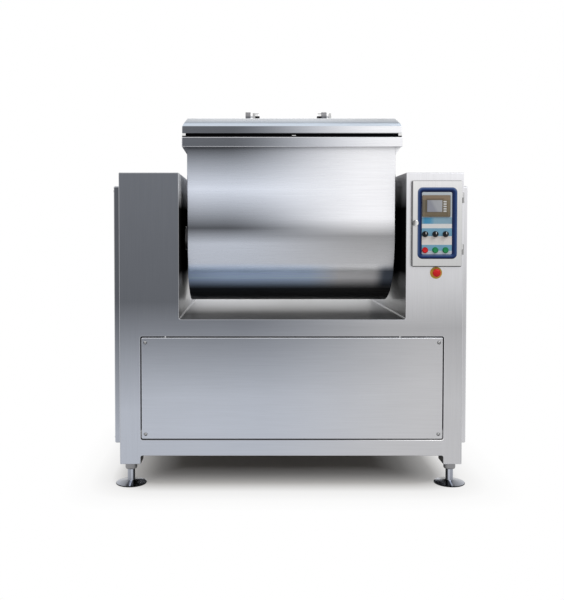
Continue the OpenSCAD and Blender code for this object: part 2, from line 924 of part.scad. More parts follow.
module lid_seal() {
    w = lid_half_w - seal_w / 4;
    d = rim_half_d - seal_in;
    color("#222222") difference() {
        block(mid_x - w, mid_x + w, axis_y - d, axis_y + d, rim_top_z + seal_lift, lid_z);
        block(mid_x - w + seal_w, mid_x + w - seal_w, axis_y - d + seal_w, axis_y + d - seal_w,
            rim_top_z - over, lid_z + over);
    }
}

module lid_lugs() {
    color("gray") for (x = [left_arm_x, right_arm_x]) difference() {
        along_x(x + arm_t + lug_gap, x + arm_t + lug_gap + lug_t) {
            translate([axis_y, lid_pin_z]) circle(lug_r);
            translate([axis_y - lug_r, lid_top_z]) square([2 * lug_r, lid_pin_z - lid_top_z]);
        }
        rod_x(x, x + arm_t + lug_gap + lug_t + over, axis_y, lid_pin_z, lid_pin_r);
    }
}

// Each pin has a domed head towards the lid's middle
module lid_pins() {
    stack = arm_t + lug_gap + lug_t;
    color("gainsboro") for (x = [left_arm_x, right_arm_x]) {
        inner = x == left_arm_x ? x + stack : x;
        s = x == left_arm_x ? 1 : -1;
        rod_x(x, x + stack, axis_y, lid_pin_z, lid_pin_r);
        tip = inner + s * dome_l;
        intersection() {
            rod_x(min(inner, tip), max(inner, tip), axis_y, lid_pin_z, dome_r);
            translate([tip - s * dome_cap_r, axis_y, lid_pin_z]) sphere(dome_cap_r);
        }
    }
}

module lid_arms() {
    bend = [hinge_y - arm_bend_in, lid_pin_z];
    color("slategray") for (x = [left_arm_x, right_arm_x]) difference() {
        along_x(x, x + arm_t) {
            link([axis_y, lid_pin_z], bend, arm_r);
            link(bend, [hinge_y, hinge_z], arm_r);
        }
        rod_x(x - over, x + arm_t + over, axis_y, lid_pin_z, lid_pin_r);
        rod_x(x - over, x + arm_t + over, hinge_y, hinge_z, hinge_shaft_r);
    }
}

module lid_hinge_shaft() {
    color("silver")
        rod_x(mid_x - fitting_out - hinge_shaft_past, mid_x + fitting_out + hinge_shaft_past,
            hinge_y, hinge_z, hinge_shaft_r);
}

module agitator_shaft() {
    color("silver")
        rod_x(pulley_x0 - shaft_end, trough_x1 + seal_ring_l + over, axis_y, axis_z, shaft_r);
}

module agitator_spiders() {
    color("silver") for (x = [mid_x - spider_x, mid_x + spider_x - spider_t])
        along_x(x, x + spider_t) translate([axis_y, axis_z]) difference() {
            union() {
                circle(spider_hub_r);
                for (i = [0 : 2])
                    rotate(first_bar_angle + i * bar_angle_step)
                        link([0, 0], [bar_orbit_r, 0], spider_arm_r);
                for (i = [0 : 2])
                    rotate(first_bar_angle + i * bar_angle_step)
                        translate([bar_orbit_r, 0]) circle(spider_eye_r);
            }
            circle(shaft_r);
        }
}

// The three bars run between the spiders
module kneading_bars() {
    color("gainsboro") for (i = [0 : 2]) {
        a = first_bar_angle + i * bar_angle_step;
        rod_x(mid_x - spider_x + spider_t, mid_x + spider_x - spider_t,
            axis_y + bar_orbit_r * cos(a), axis_z + bar_orbit_r * sin(a), bar_r);
    }
}

module control_cabinet() {
    x0 = door_x + cutout_in - cabinet_out;
    x1 = door_x1 - cutout_in + cabinet_out;
    z0 = door_z;
    z1 = door_z + door_h;
    y0 = front_y + skin_t;
    color("gainsboro") difference() {
        block(x0, x1, y0, y0 + cabinet_depth, z0, z1);
        block(x0 + cabinet_t, x1 - cabinet_t, y0 - over, y0 + cabinet_depth - cabinet_t,
            z0 + cabinet_t, z1 - cabinet_t);
    }
}

module control_door() {
    hinge_zs = [door_z + hinge_from_edge, door_z + door_h - hinge_from_edge - 2 * knuckle_h];
    color("gainsboro") difference() {
        union() {
            difference() {
                along_y(door_y, front_y - door_standoff)
                    round_rect(door_x, door_z, door_w, door_h, door_corner_r);
                along_y(door_y + door_skin_t, front_y + over)
                    round_rect(door_x + door_skin_t, door_z + door_skin_t,
                        door_w - 2 * door_skin_t, door_h - 2 * door_skin_t,
                        door_corner_r - door_skin_t);
            }
            for (z = hinge_zs) {
                rod_z(door_axis_x, door_axis_y, z + knuckle_h + clear, z + 2 * knuckle_h,
                    knuckle_r);
                block(door_x1 - door_skin_t, door_axis_x, door_axis_y - knuckle_r,
                    door_axis_y - knuckle_r / 2, z + knuckle_h + clear, z + 2 * knuckle_h);
            }
        }
        for (z = hinge_zs)
            rod_z(door_axis_x, door_axis_y, z, z + 2 * knuckle_h + over, hinge_pin_r + running);
        rod_y(door_x + lock_left, door_y - over, front_y, door_z + lock_up,
            lock_stem_r + running);
    }
}

// The hinges' fixed halves with their pins
module hinge_leaves() {
    color("silver")
        for (z = [door_z + hinge_from_edge,
                door_z + door_h - hinge_from_edge - 2 * knuckle_h]) {
            block(door_x1 + tongue_gap, door_x1 + tongue_gap + leaf_w, front_y - leaf_t, front_y,
                z, z + knuckle_h);
            rod_z(door_axis_x, door_axis_y, z, z + knuckle_h, knuckle_r);
            block(door_axis_x, door_x1 + tongue_gap + leaf_w, door_axis_y, front_y, z,
                z + knuckle_h);
            rod_z(door_axis_x, door_axis_y, z, z + 2 * knuckle_h, hinge_pin_r);
        }
}

module door_frame() {
    color("midnightblue") along_y(door_y - frame_t, door_y) difference() {
        round_rect(door_x + frame_left, door_z + frame_low, frame_w, frame_h, frame_corner_r);
        round_rect(door_x + plate_left, door_z + plate_low, plate_w, plate_h, plate_corner_r);
    }
}

module control_plate() {
    color("lightsteelblue") along_y(plate_y, door_y)
        round_rect(door_x + plate_left + clear, door_z + plate_low + clear,
            plate_w - 2 * clear, plate_h - 2 * clear, plate_corner_r);
}

module hmi_bezel() {
    x = door_x + hmi_left;
    z = door_z + hmi_low;
    y = plate_y - hmi_t;
    color("darkkhaki") {
        difference() {
            block(x, x + hmi_w, y, plate_y, z, z + hmi_h);
            block(door_x + screen_left, door_x + screen_left + screen_w, y - over,
                y + screen_sunk + screen_t, door_z + screen_low, door_z + screen_low + screen_h);
        }
        for (i = [0 : keys - 1])
            block(key_x, key_x + key_w, y - key_t, y,
                door_z + screen_low + i * key_pitch,
                door_z + screen_low + i * key_pitch + key_h);
    }
}

module hmi_screen() {
    y = plate_y - hmi_t + screen_sunk;
    color("lavender")
        block(door_x + screen_left, door_x + screen_left + screen_w, y, y + screen_t,
            door_z + screen_low, door_z + screen_low + screen_h);
}

// The fixed rings round the selectors and the buttons
module operator_collars() {
    color("#222222") for (i = [-1 : 1], z = [selector_row, button_row]) difference() {
        rod_y(operator_mid_x + i * operator_pitch, plate_y - ring_h, plate_y, door_z + z,
            operator_r);
        rod_y(operator_mid_x + i * operator_pitch, plate_y - ring_h - over, plate_y + over,
            door_z + z, operator_bore_r);
    }
}

module selector(i) {
    x = operator_mid_x + i * operator_pitch;
    z = door_z + selector_row;
    y = plate_y - ring_h - clear;
    color("#1c1c1c") {
        rod_y(x, y, plate_y - clear, z, operator_bore_r - running);
        rod_y(x, y - selector_disc_h, y, z, selector_disc_r);
        block(x - grip_w / 2, x + grip_w / 2, y - selector_disc_h - grip_h, y - selector_disc_h,
            z - selector_disc_r + grip_w / 4, z + selector_disc_r - grip_w / 4);
    }
}

module left_selector() { selector(-1); }

module middle_selector() { selector(0); }

module right_selector() { selector(1); }

module push_button(i) {
    y = plate_y - ring_h - button_proud;
    rod_y(operator_mid_x + i * operator_pitch, y, y + button_h, door_z + button_row,
        operator_bore_r - clear);
}

module red_button() { color("crimson") push_button(-1); }

module middle_green_button() { color("limegreen") push_button(0); }

module right_green_button() { color("limegreen") push_button(1); }

// A quarter-turn lock: the tongue behind the door points up when it is unlocked
module lock_knob() {
    x = door_x + lock_left;
    z = door_z + lock_up;
    head_y = door_y - frame_t - clear;
    tongue_y = front_y + skin_t + tongue_gap;
    color("white") {
        rod_y(x, head_y - lock_h, head_y, z, lock_r);
        rod_y(x, head_y, tongue_y + tongue_t, z, lock_stem_r);
        block(x - tongue_w / 2, x + tongue_w / 2, tongue_y, tongue_y + tongue_t,
            z - tongue_w / 2, z + tongue_l);
    }
}

module estop_collar() {
    color("gold") difference() {
        rod_y(estop_x, front_y - estop_collar_t, front_y, estop_z, estop_collar_r);
        rod_y(estop_x, front_y - estop_collar_t - over, front_y + over, estop_z,
            estop_stem_r + running);
    }
}

module estop_head() {
    neck_y = front_y - estop_collar_t - estop_neck;
    cap_r = (estop_head_r * estop_head_r + estop_cap_h * estop_cap_h) / (2 * estop_cap_h);
    color("red") {
        rod_y(estop_x, neck_y, front_y + estop_stem_in, estop_z, estop_stem_r);
        intersection() {
            translate([estop_x, neck_y - estop_cap_h + cap_r, estop_z]) sphere(cap_r);
            rod_y(estop_x, neck_y - estop_cap_h - over, neck_y, estop_z, estop_head_r);
        }
    }
}

module cable_gland() {
    x = panel_x1 - gland_from_side;
    z = panel_high_z - gland_from_top;
    y = rear_y;
    color("#333333") difference() {
        union() {
            rod_y(x, y, y + gland_out / 2, z, gland_r);
            rod_y(x, y, y + gland_out, z, gland_r - gland_bore_r / 2);
        }
        rod_y(x, y - over, y + gland_out + over, z, gland_bore_r);
    }
}

frame_posts();
frame_rails();
machinery_deck();
saddle_pan();
column_front_plates();
column_rear_plates();
column_top_plates();
column_inner_plates();
front_panel();
rear_panel();
left_side_cover();
right_side_cover();
cover_screws();
foot_collars();
feet();
trunnion_bearings();
bearing_bolts();
main_gearmotor();
drive_belts();
tilt_reducer();
tilt_motor();
vacuum_pump();
vacuum_pipe();
control_cabinet();
hinge_leaves();
cable_gland();
estop_collar();
trough_shell();
trough_ends();
trough_rim();
trunnions();
shaft_seals();
lid_hinge_brackets();
lid_locators();
lid_shell();
lid_seal();
lid_lugs();
lid_pins();
lid_arms();
lid_hinge_shaft();
agitator_shaft();
agitator_spiders();
kneading_bars();
driven_pulley();
motor_shaft();
motor_pulley();
control_door();
door_frame();
control_plate();
hmi_bezel();
hmi_screen();
operator_collars();
left_selector();
middle_selector();
right_selector();
red_button();
middle_green_button();
right_green_button();
lock_knob();
estop_head();
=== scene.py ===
import json
import math

import bmesh
import bpy
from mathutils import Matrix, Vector
from mathutils.geometry import tessellate_polygon


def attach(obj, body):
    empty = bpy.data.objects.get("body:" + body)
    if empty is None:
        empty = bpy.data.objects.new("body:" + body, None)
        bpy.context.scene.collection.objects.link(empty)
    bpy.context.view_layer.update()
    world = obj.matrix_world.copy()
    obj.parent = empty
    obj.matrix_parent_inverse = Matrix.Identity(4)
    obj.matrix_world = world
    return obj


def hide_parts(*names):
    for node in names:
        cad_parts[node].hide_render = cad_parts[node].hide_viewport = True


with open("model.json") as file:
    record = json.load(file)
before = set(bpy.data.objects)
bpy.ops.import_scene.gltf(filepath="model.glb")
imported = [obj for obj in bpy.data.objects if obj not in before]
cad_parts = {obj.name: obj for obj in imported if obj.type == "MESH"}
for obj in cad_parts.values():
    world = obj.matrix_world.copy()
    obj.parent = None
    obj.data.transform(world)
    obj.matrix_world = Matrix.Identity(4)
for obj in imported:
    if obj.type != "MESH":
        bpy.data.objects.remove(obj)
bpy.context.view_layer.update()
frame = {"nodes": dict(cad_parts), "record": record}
body_of = {n: b for b, ns in frame["record"]["behaviour"]["bodies"].items() for n in ns}
scene = bpy.context.scene

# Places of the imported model, in millimetres
SIDE, FRONT, REAR = 862, -570.6, 579.4
LEFT_IN, RIGHT_IN, MID = -562, 574, 6
SADDLE, TOP = 842, 1577
LEG, RAIL, DECK = 109, 152, 277
OPEN_X0, OPEN_X1, OPEN_Z0, OPEN_Z1 = -757, 768, 233, 756
AXIS_Y, AXIS_Z = -120.6, 1245
TX0, TX1, DRUM_R = -529, 541, 340
RIM_Z0, RIM_Z1, RIM_D = 1711, 1760, 398
RX0, RX1 = -552, 564
DOOR_X0, DOOR_X1, DOOR_Z0, DOOR_Z1 = 600, 849, 1107, 1537
DOOR_Y = FRONT - 16.5
PLATE_Y = DOOR_Y - 2
LOCK = (616.5, 1325)
STOP = (725, 1076.5)
OPERATOR_X, PITCH, SELECTOR_Z, BUTTON_Z = 715.5, 51, 1270, 1190
GLAND = (632, 661)
FOOT_X, FOOT_IN = 812, 50

# The same model in metres, where a material changes: between the columns' inner walls and
# their outer faces, above the saddle's floor, and at the middle of the door's frame
WALL_LIMIT, FLOOR_LIMIT, FRAME_MID = 0.70, 0.90, 0.726

# Tints of the painted reflection greys: cool on the left, neutral on the right
COOL, PLAIN = (0.94, 1.0, 1.13), (1.0, 1.0, 1.03)


# Shading

# The steel's greys are painted by place on the piece. They stand for the reflections of a
# pale studio in front of it, so they don't change with the view and move with the piece. In
# places it is also made less metallic, so that real reflections don't cover them.

def lin(v):
    """A grey as it looks on a screen, 0 to 255, as a linear value."""
    v /= 255
    return v / 12.92 if v < 0.04045 else ((v + 0.055) / 1.055) ** 2.4


class Shader:
    """A node tree round one Principled shader."""

    def __init__(self, name, color, rough, metal=0.0, **sockets):
        self.mat = bpy.data.materials.new(name)
        self.mat.use_nodes = True
        self.mat.diffuse_color = (*color, 1)
        self.tree = self.mat.node_tree
        self.tree.nodes.clear()
        self.out = self.add("OutputMaterial")
        self.bsdf = self.add("BsdfPrincipled")
        self.link(self.bsdf.outputs[0], self.out.inputs[0])
        self.set("Base Color", (*color, 1))
        self.set("Roughness", rough)
        self.set("Metallic", metal)
        for k, v in sockets.items():
            self.set(k.replace("_", " "), v)
        place = self.add("TexCoord")
        self.pos, self.normal = place.outputs["Object"], place.outputs["Normal"]

    def add(self, kind, **attrs):
        n = self.tree.nodes.new("ShaderNode" + kind)
        for k, v in attrs.items():
            setattr(n, k, v)
        return n

    def link(self, a, b):
        self.tree.links.new(a, b)

    def set(self, name, value):
        s = self.bsdf.inputs[name]
        if isinstance(value, bpy.types.NodeSocket):
            self.link(value, s)
        else:
            s.default_value = value

    def math(self, op, a, b=None, clamp=False):
        n = self.add("Math", operation=op, use_clamp=clamp)
        for i, v in enumerate((a, b)):
            if isinstance(v, bpy.types.NodeSocket):
                self.link(v, n.inputs[i])
            elif v is not None:
                n.inputs[i].default_value = v
        return n.outputs[0]

    def noise(self, scale, detail=3.0, rough=0.55):
        m = self.add("Mapping")
        m.inputs["Scale"].default_value = scale
        self.link(self.pos, m.inputs[0])
        n = self.add("TexNoise")
        n.inputs["Scale"].default_value = 1.0
        n.inputs["Detail"].default_value = detail
        n.inputs["Roughness"].default_value = rough
        self.link(m.outputs[0], n.inputs[0])
        return n.outputs[0]

    def fit(self, v, lo, hi, to_lo=0.0, to_hi=1.0, ease="LINEAR"):
        n = self.add("MapRange", interpolation_type=ease)
        for i, x in enumerate((lo, hi, to_lo, to_hi)):
            n.inputs[i + 1].default_value = x
        self.link(v, n.inputs[0])
        return n.outputs[0]

    def split(self, vector):
        n = self.add("SeparateXYZ")
        self.link(vector, n.inputs[0])
        return n.outputs

    def ramp(self, v, stops, ease="LINEAR"):
        """Colours along v; a stop is a place with a grey as seen, or with a linear colour."""
        lo, hi = stops[0][0], stops[-1][0]
        n = self.add("ValToRGB")
        n.color_ramp.interpolation = ease
        el = n.color_ramp.elements
        while len(el) < len(stops):
            el.new(0.5)
        for e, (at, c) in zip(el, stops):
            e.position = (at - lo) / (hi - lo)
            e.color = (*(c if isinstance(c, tuple) else (lin(c),) * 3), 1)
        self.link(self.fit(v, lo, hi), n.inputs[0])
        return n.outputs[0]

    def mix(self, fac, a, b, mode="MIX"):
        n = self.add("Mix", data_type="RGBA", blend_type=mode)
        for i, v in ((0, fac), (6, a), (7, b)):
            if isinstance(v, bpy.types.NodeSocket):
                self.link(v, n.inputs[i])
            else:
                n.inputs[i].default_value = v if i == 0 else (*v, 1)
        return n.outputs[2]

    def faces(self, way, level=0.8):
        """1 where the surface faces the way of a unit vector, in the piece's own frame."""
        n = self.add("VectorMath", operation="DOT_PRODUCT")
        self.link(self.normal, n.inputs[0])
        n.inputs[1].default_value = way
        return self.fit(n.outputs["Value"], level - 0.1, level + 0.1)

    def folds(self):
        """1 on rounded edges, 0 on flat faces square to the axes."""
        n = self.add("VectorMath", operation="ABSOLUTE")
        self.link(self.normal, n.inputs[0])
        nx, ny, nz = self.split(n.outputs[0])
        most = self.math("MAXIMUM", self.math("MAXIMUM", nx, ny), nz)
        return self.fit(most, 0.90, 0.985, 1.0, 0.0)

    def bump(self, height, strength, distance):
        n = self.add("Bump")
        n.inputs["Strength"].default_value = strength
        n.inputs["Distance"].default_value = distance
        self.link(height, n.inputs["Height"])
        self.set("Normal", n.outputs[0])


def steel(name, tone, rough, grain, streak=0.04, bump=0.05, metal=None):
    """Brushed sheet. tone is a linear grey, or makes a colour socket; grain is x, y or z, or
    makes a socket that is 1 where the grain runs along x and 0 where it runs along z. metal
    makes a socket that is less than 1 where the sheet looks matt."""
    s = Shader(name, (0.5, 0.5, 0.5), rough, 1.0)
    if metal:
        s.set("Metallic", metal(s))
        s.set("Specular IOR Level", 0.0)
    ways = {"x": (5, 420, 420), "y": (420, 5, 420), "z": (420, 420, 5)}
    if callable(grain):
        across = grain(s)
        fine = s.mix(across, s.noise(ways["z"], 2.0), s.noise(ways["x"], 2.0))
    else:
        fine = s.noise(ways[grain], 2.0)
    cloud = s.noise((2.6, 2.6, 2.6), 2.0)
    base = tone(s) if callable(tone) else s.mix(0.0, (tone, tone, tone * 1.03), (0, 0, 0))
    both = s.math("MULTIPLY", s.fit(fine, 0.3, 0.7, 1 - streak, 1 + streak),
                  s.fit(cloud, 0.3, 0.7, 1 - streak / 2, 1 + streak / 2))
    s.set("Base Color", s.mix(1.0, base, both, "MULTIPLY"))
    s.set("Roughness", s.math("ADD", s.fit(fine, 0.3, 0.7, rough - 0.05, rough + 0.05),
                              s.fit(cloud, 0.3, 0.7, -0.03, 0.03)))
    s.bump(fine, bump, 0.0004)
    return s.mat


def moulded(name, slot, color, rough, grain=900, bump=0.08, vary=0.08, shine=0.25, tone=None,
            **sockets):
    """Moulded plastic, rubber or paint with a fine skin."""
    s = Shader(name, color, rough, 0.0, Specular_IOR_Level=shine, **sockets)
    cloud = s.fit(s.noise((14,) * 3), 0.3, 0.7)
    light = tone(s) if tone else tuple(min(1, c * (1 + vary)) for c in color)
    dark = s.mix(1.0, light, (1 - 2 * vary,) * 3, "MULTIPLY") if tone else \
        tuple(c * (1 - vary) for c in color)
    s.set("Base Color", s.mix(cloud, dark, light))
    s.set("Roughness", s.fit(cloud, 0, 1, rough - 0.05, rough + 0.05))
    s.bump(s.noise((grain,) * 3, 2.0), bump, 0.0002)
    return s.mat


def studio(s, left, right, x0, x1):
    """Painted reflection of a pale studio on an upright sheet: greys along z at its left and
    right, eased along x.
    """
    x, _, z = s.split(s.pos)
    across = s.fit(x, x0, x1, ease="SMOOTHSTEP")
    grey = s.mix(across, s.ramp(z, left), s.ramp(z, right))
    return s.mix(1.0, grey, s.mix(across, COOL, PLAIN), "MULTIPLY")


def painted_fold_highlight(s, base, up=172, other=0.3):
    """Painted highlights on rounded edges that face the front or the rear, brightest where they
    face up.
    """
    grey = lin(up)
    edge = s.mix(other, base, (1.0, 1.0, 1.03))
    edge = s.mix(s.faces((0, 0, 1), 0.25), edge, (grey, grey * 1.02, grey * 1.08))
    out = s.math("ABSOLUTE", s.split(s.normal)[1])
    return s.mix(s.math("MULTIPLY", s.folds(), s.fit(out, 0.1, 0.3)), base, edge)


def wall_masks(s, x):
    """Where a face looks sideways, where it lies between the outer faces, and where both
    hold, which is on the columns' inner walls."""
    side = s.math("MAXIMUM", s.faces((1, 0, 0), 0.5), s.faces((-1, 0, 0), 0.5))
    inner = s.math("LESS_THAN", s.math("ABSOLUTE", x), WALL_LIMIT)
    return side, inner, s.math("MULTIPLY", side, inner)


def floor_mask(s, z):
    """1 on what faces up at the height of the saddle's floor or below it."""
    return s.math("MULTIPLY", s.faces((0, 0, 1), 0.5), s.math("LESS_THAN", z, FLOOR_LIMIT))


def rear_of_wall(s, y):
    """0 on the front part of the inner walls, which carries the painted dark reflection, 1 behind
    it, where they are plain steel.
    """
    return s.fit(y, -0.05, 0.14)


def housing_tone(s):
    x, y, z = s.split(s.pos)
    # Painted reflection greys on the front faces, plain grey on the others.
    front = studio(s, [(0.38, 185), (0.60, 160), (0.93, 100), (1.577, 110)],
                   [(0.43, 190), (0.80, 170), (1.00, 200), (1.577, 235)], -0.28, 0.62)
    sheet = s.mix(s.faces((0, -1, 0), 0.5), (0.40, 0.405, 0.42), front)
    # Painted shade on the saddle's floor: dark at the front under the drum, lighter to the rear
    # and towards the left.
    pan = s.ramp(y, [(-0.57, 84), (-0.31, 60), (-0.10, 134), (0.20, 168), (0.58, 192)])
    pan = s.mix(s.fit(x, -0.45, 0.0), s.mix(1.0, pan, (1.25, 1.25, 1.28), "MULTIPLY"), pan)
    # Painted dark reflection and shade on the columns' inner walls beside the drum, darker still
    # higher up on the right column, and plain steel behind.
    wall = s.ramp(z, [(0.85, 155), (1.02, 125), (1.08, 15), (1.40, 15), (1.50, 215)])
    painted_right_wall_shade = s.math("MULTIPLY", s.math("GREATER_THAN", x, 0.0), s.fit(z, 1.0, 1.4))
    wall = s.mix(painted_right_wall_shade, wall, s.mix(1.0, wall, (0.25, 0.25, 0.26), "MULTIPLY"))
    wall = s.mix(rear_of_wall(s, y), wall, (0.36, 0.365, 0.38))
    side, _, walls = wall_masks(s, x)
    sheet = s.mix(floor_mask(s, z), sheet, pan)
    sheet = s.mix(walls, sheet, wall)
    # Painted shade: the inner sides of the legs nearly black.
    painted_leg_shade = s.math("MULTIPLY", s.math("LESS_THAN", z, 0.16), s.math("LESS_THAN", s.math(
        "ABSOLUTE", x), 0.80))
    sheet = s.mix(s.math("MULTIPLY", side, painted_leg_shade), sheet, (0.012, 0.012, 0.014))
    # Painted highlights on the rounded edges, and a painted highlight line on the front opening's
    # lower fold, growing towards the right.
    sheet = painted_fold_highlight(s, sheet)
    painted_highlight_line = s.math("MULTIPLY", s.math("LESS_THAN", z, 0.24), s.faces((0, 0, 1), 0.15))
    painted_highlight_line = s.math("MULTIPLY", painted_highlight_line, s.fit(x, 0.20, 0.70))
    return s.mix(s.math("MULTIPLY", painted_highlight_line, s.faces((0, -1, 0), 0.1)), sheet, (0.95, 0.94, 0.95))


def housing_metal(s):
    """Matt inside: less gloss on the saddle's floor, and little or none on the front part of the
    columns' inner walls, where they carry the painted dark reflection."""
    x, y, z = s.split(s.pos)
    _, inner, walls = wall_masks(s, x)
    wall = s.ramp(z, [(0.85, (1,) * 3), (0.97, (0.9,) * 3), (1.03, (0.35,) * 3), (1.07, (0,) * 3),
                      (1.40, (0,) * 3), (1.50, (0.4,) * 3), (1.57, (0.5,) * 3)])
    wall = s.mix(rear_of_wall(s, y), wall, (1, 1, 1))
    gloss = s.mix(walls, (1, 1, 1), wall)
    floor = s.math("MULTIPLY", floor_mask(s, z), inner)
    return s.mix(floor, gloss, (0.4, 0.4, 0.4))


def housing_grain(s):
    """Along x on the rails and below the saddle, along z on the posts and columns."""
    x, _, z = s.split(s.pos)
    low = s.math("LESS_THAN", z, SADDLE / 1000)
    return s.math("MULTIPLY", low, s.math("LESS_THAN", s.math("ABSOLUTE", x), 0.76))


def panel_tone(s):
    # Painted reflection greys, with painted highlights on the rounded edges.
    return painted_fold_highlight(s, studio(s, [(0.30, 188), (0.45, 184), (0.52, 174), (0.75, 135)],
                            [(0.30, 193), (0.50, 191), (0.75, 180)], -0.25, 0.75), 240)


def cover_tone(s):
    # Painted reflection greys on the front, with painted highlights on the rounded edges.
    front = studio(s, [(0.25, 175), (0.93, 90), (1.51, 90)],
                   [(0.25, 200), (0.80, 180), (1.51, 225)], -0.3, 0.6)
    return painted_fold_highlight(s, s.mix(s.faces((0, -1, 0), 0.3), (0.36, 0.365, 0.38), front), 180, 0.12)


def drum_tone(s):
    x, _, z = s.split(s.pos)
    # Painted reflection bands on the drum's front: dark low down, across the middle and under the
    # rim, with bright bands between.
    front = studio(s, [(0.905, 70), (0.98, 70), (1.04, 240), (1.10, 190), (1.22, 190),
                       (1.30, 85), (1.50, 220), (1.711, 85)],
                   [(0.905, 70), (0.98, 80), (1.04, 250), (1.12, 180), (1.26, 150),
                    (1.35, 245), (1.711, 240)], -0.35, 0.46)
    # A painted bluish reflection low on the drum's left, and painted shade low at its right end.
    band = s.math("MULTIPLY", s.fit(z, 0.96, 1.00), s.fit(z, 1.075, 1.12, 1.0, 0.0))
    blue = s.math("MULTIPLY", band, s.fit(x, 0.10, 0.26, 1.0, 0.0))
    front = s.mix(blue, front, s.mix(1.0, front, (0.84, 1.02, 1.26), "MULTIPLY"))
    end = s.math("MULTIPLY", band, s.fit(x, 0.43, 0.50, ease="SMOOTHSTEP"))
    front = s.mix(end, front, s.mix(1.0, front, (0.17, 0.20, 0.25), "MULTIPLY"))
    return s.mix(s.faces((0, -1, 0), -0.3), (0.34, 0.345, 0.36), front)


def drum_metal(s):
    """The drum's underside is nearly matt, so its painted dark and light reflection bands show."""
    return s.ramp(s.split(s.pos)[2], [(0.90, (0.5,) * 3), (0.98, (0.4,) * 3), (1.01, (0.06,) * 3),
                                      (1.065, (0.06,) * 3), (1.105, (1,) * 3)])


def rim_tone(s):
    # Painted reflection greys on the front, a painted highlight along the top edge and on the
    # rounded edges.
    front = studio(s, [(1.71, 99), (1.76, 102)], [(1.71, 242), (1.76, 244)], -0.33, 0.58)
    front = s.mix(s.fit(s.split(s.pos)[2], 1.7565, 1.7572), front, (0.85, 0.85, 0.88))
    sheet = s.mix(s.faces((0, -1, 0), 0.5), (0.42, 0.42, 0.43), front)
    return s.mix(s.folds(), sheet, (0.80, 0.80, 0.83))


def lid_tone(s):
    x, _, z = s.split(s.pos)
    # Painted reflection greys on the front; the sloping top painted pale, with a dark line at its
    # fold and darker towards the right.
    front = studio(s, [(1.779, 104), (1.783, 99), (1.815, 99)],
                   [(1.779, 190), (1.784, 243), (1.815, 247)], -0.33, 0.56)
    top = s.ramp(z, [(1.815, (0.60, 0.66, 0.74)), (1.829, (0.58, 0.65, 0.74)),
                     (1.831, (0.28, 0.32, 0.38)), (1.852, (0.50, 0.52, 0.55)),
                     (1.864, (0.50, 0.52, 0.55))])
    top = s.mix(s.fit(x, 0.10, 0.48), top, s.mix(1.0, top, (0.78, 0.78, 0.78), "MULTIPLY"))
    sheet = s.mix(s.faces((0, 0, 1), 0.2), front, top)
    sheet = s.mix(s.faces((0, 1, 0), 0.5), sheet, (0.5, 0.5, 0.51))
    # Painted shade: the underside of the lid's lip nearly black.
    painted_lip_shade = s.math("MULTIPLY", s.faces((0, 0, -1)), s.math("LESS_THAN", z, 1.785))
    return s.mix(painted_lip_shade, sheet, (0.03, 0.03, 0.03))


def door_tone(s):
    x, _, z = s.split(s.pos)
    # Painted light and shade on the door's face: a dark line along its bottom edge, lighter
    # towards the top, slightly darker at the top edge, and a dark line down its left edge.
    face = s.ramp(z, [(1.107, 60), (1.1105, 70), (1.112, 196), (1.24, 202), (1.40, 214),
                      (1.532, 228), (1.534, 186), (1.537, 180)])
    face = s.mix(s.fit(x, 0.6035, 0.6055, 1.0, 0.0), face, (0.15, 0.15, 0.155))
    # Painted shade: the door's rounded edges dark and its left side darkest.
    edge = s.mix(s.faces((-1, 0, 0), 0.3), (0.07, 0.07, 0.075), (0.02, 0.02, 0.022))
    return s.mix(s.folds(), s.mix(s.faces((-1, 0, 0)), face, (0.02, 0.02, 0.022)), edge)


def painted_chrome_reflection(s):
    """Painted reflection on polished steel: pale where it faces up, a dark horizon, grey below."""
    return s.ramp(s.split(s.normal)[2], [(-1.0, 40), (-0.35, 96), (-0.05, 190), (0.08, 70),
                                         (0.35, 150), (0.6, 236), (1.0, 214)])


def foot_tone(s):
    """Turned steel with painted reflections, from dark on the foot's inner side to light on its
    outer side, with a painted highlight streak under the post, a cool tint, and nearly black along
    the disc's lowest edge.
    """
    x, _, z = s.split(s.pos)
    out = s.math("SUBTRACT", s.math("ABSOLUTE", x), FOOT_X / 1000)
    post = s.ramp(out, [(-0.021, 40), (-0.012, 74), (-0.009, 190), (-0.003, 186), (0.002, 150),
                        (0.021, 164)])
    disc = s.ramp(out, [(-0.078, 130), (-0.050, 190), (-0.030, 50), (-0.008, 40),
                        (-0.003, 235), (0.005, 105), (0.078, 170)])
    low = s.math("LESS_THAN", z, 0.0185)
    rim = s.math("LESS_THAN", z, 0.0055)
    both = s.mix(1.0, s.mix(low, post, disc), (0.94, 0.99, 1.12), "MULTIPLY")
    return s.mix(rim, both, (0.012, 0.012, 0.013))


def pin_tone(s):
    """Polished pins with painted reflections: their shanks painted white as a mirror of the white
    room, their heads with a painted dark underside.
    """
    x = s.split(s.pos)[0]
    head = s.ramp(s.split(s.normal)[2], [(-1.0, 24), (-0.5, 50), (-0.25, 96), (0.0, 236),
                                         (0.45, 250), (0.7, 150), (1.0, 110)])
    shank = s.math("GREATER_THAN", s.math("ABSOLUTE", s.math("SUBTRACT", x, MID / 1000)), 0.1845)
    return s.mix(shank, head, (0.98, 0.98, 0.98))


def lug_tone(s):
    """The lid's lugs, with painted shading: lighter at their sides and a dark band down their
    middle.
    """
    x = s.math("SUBTRACT", s.math("ABSOLUTE", s.math("ADD", s.split(s.pos)[0], 0.007)), 0.210)
    return s.ramp(x, [(-0.016, 176), (-0.006, 190), (-0.003, 90), (0.006, 66), (0.009, 150),
                      (0.016, 196)])


def lock_tone(s):
    """A polished knob with painted shading, dark on its left, and a painted highlight on its
    right.
    """
    return s.ramp(s.split(s.pos)[0], [(0.6015, 84), (0.606, 124), (0.613, 142), (0.617, 206),
                                      (0.626, 226), (0.6315, 186)])


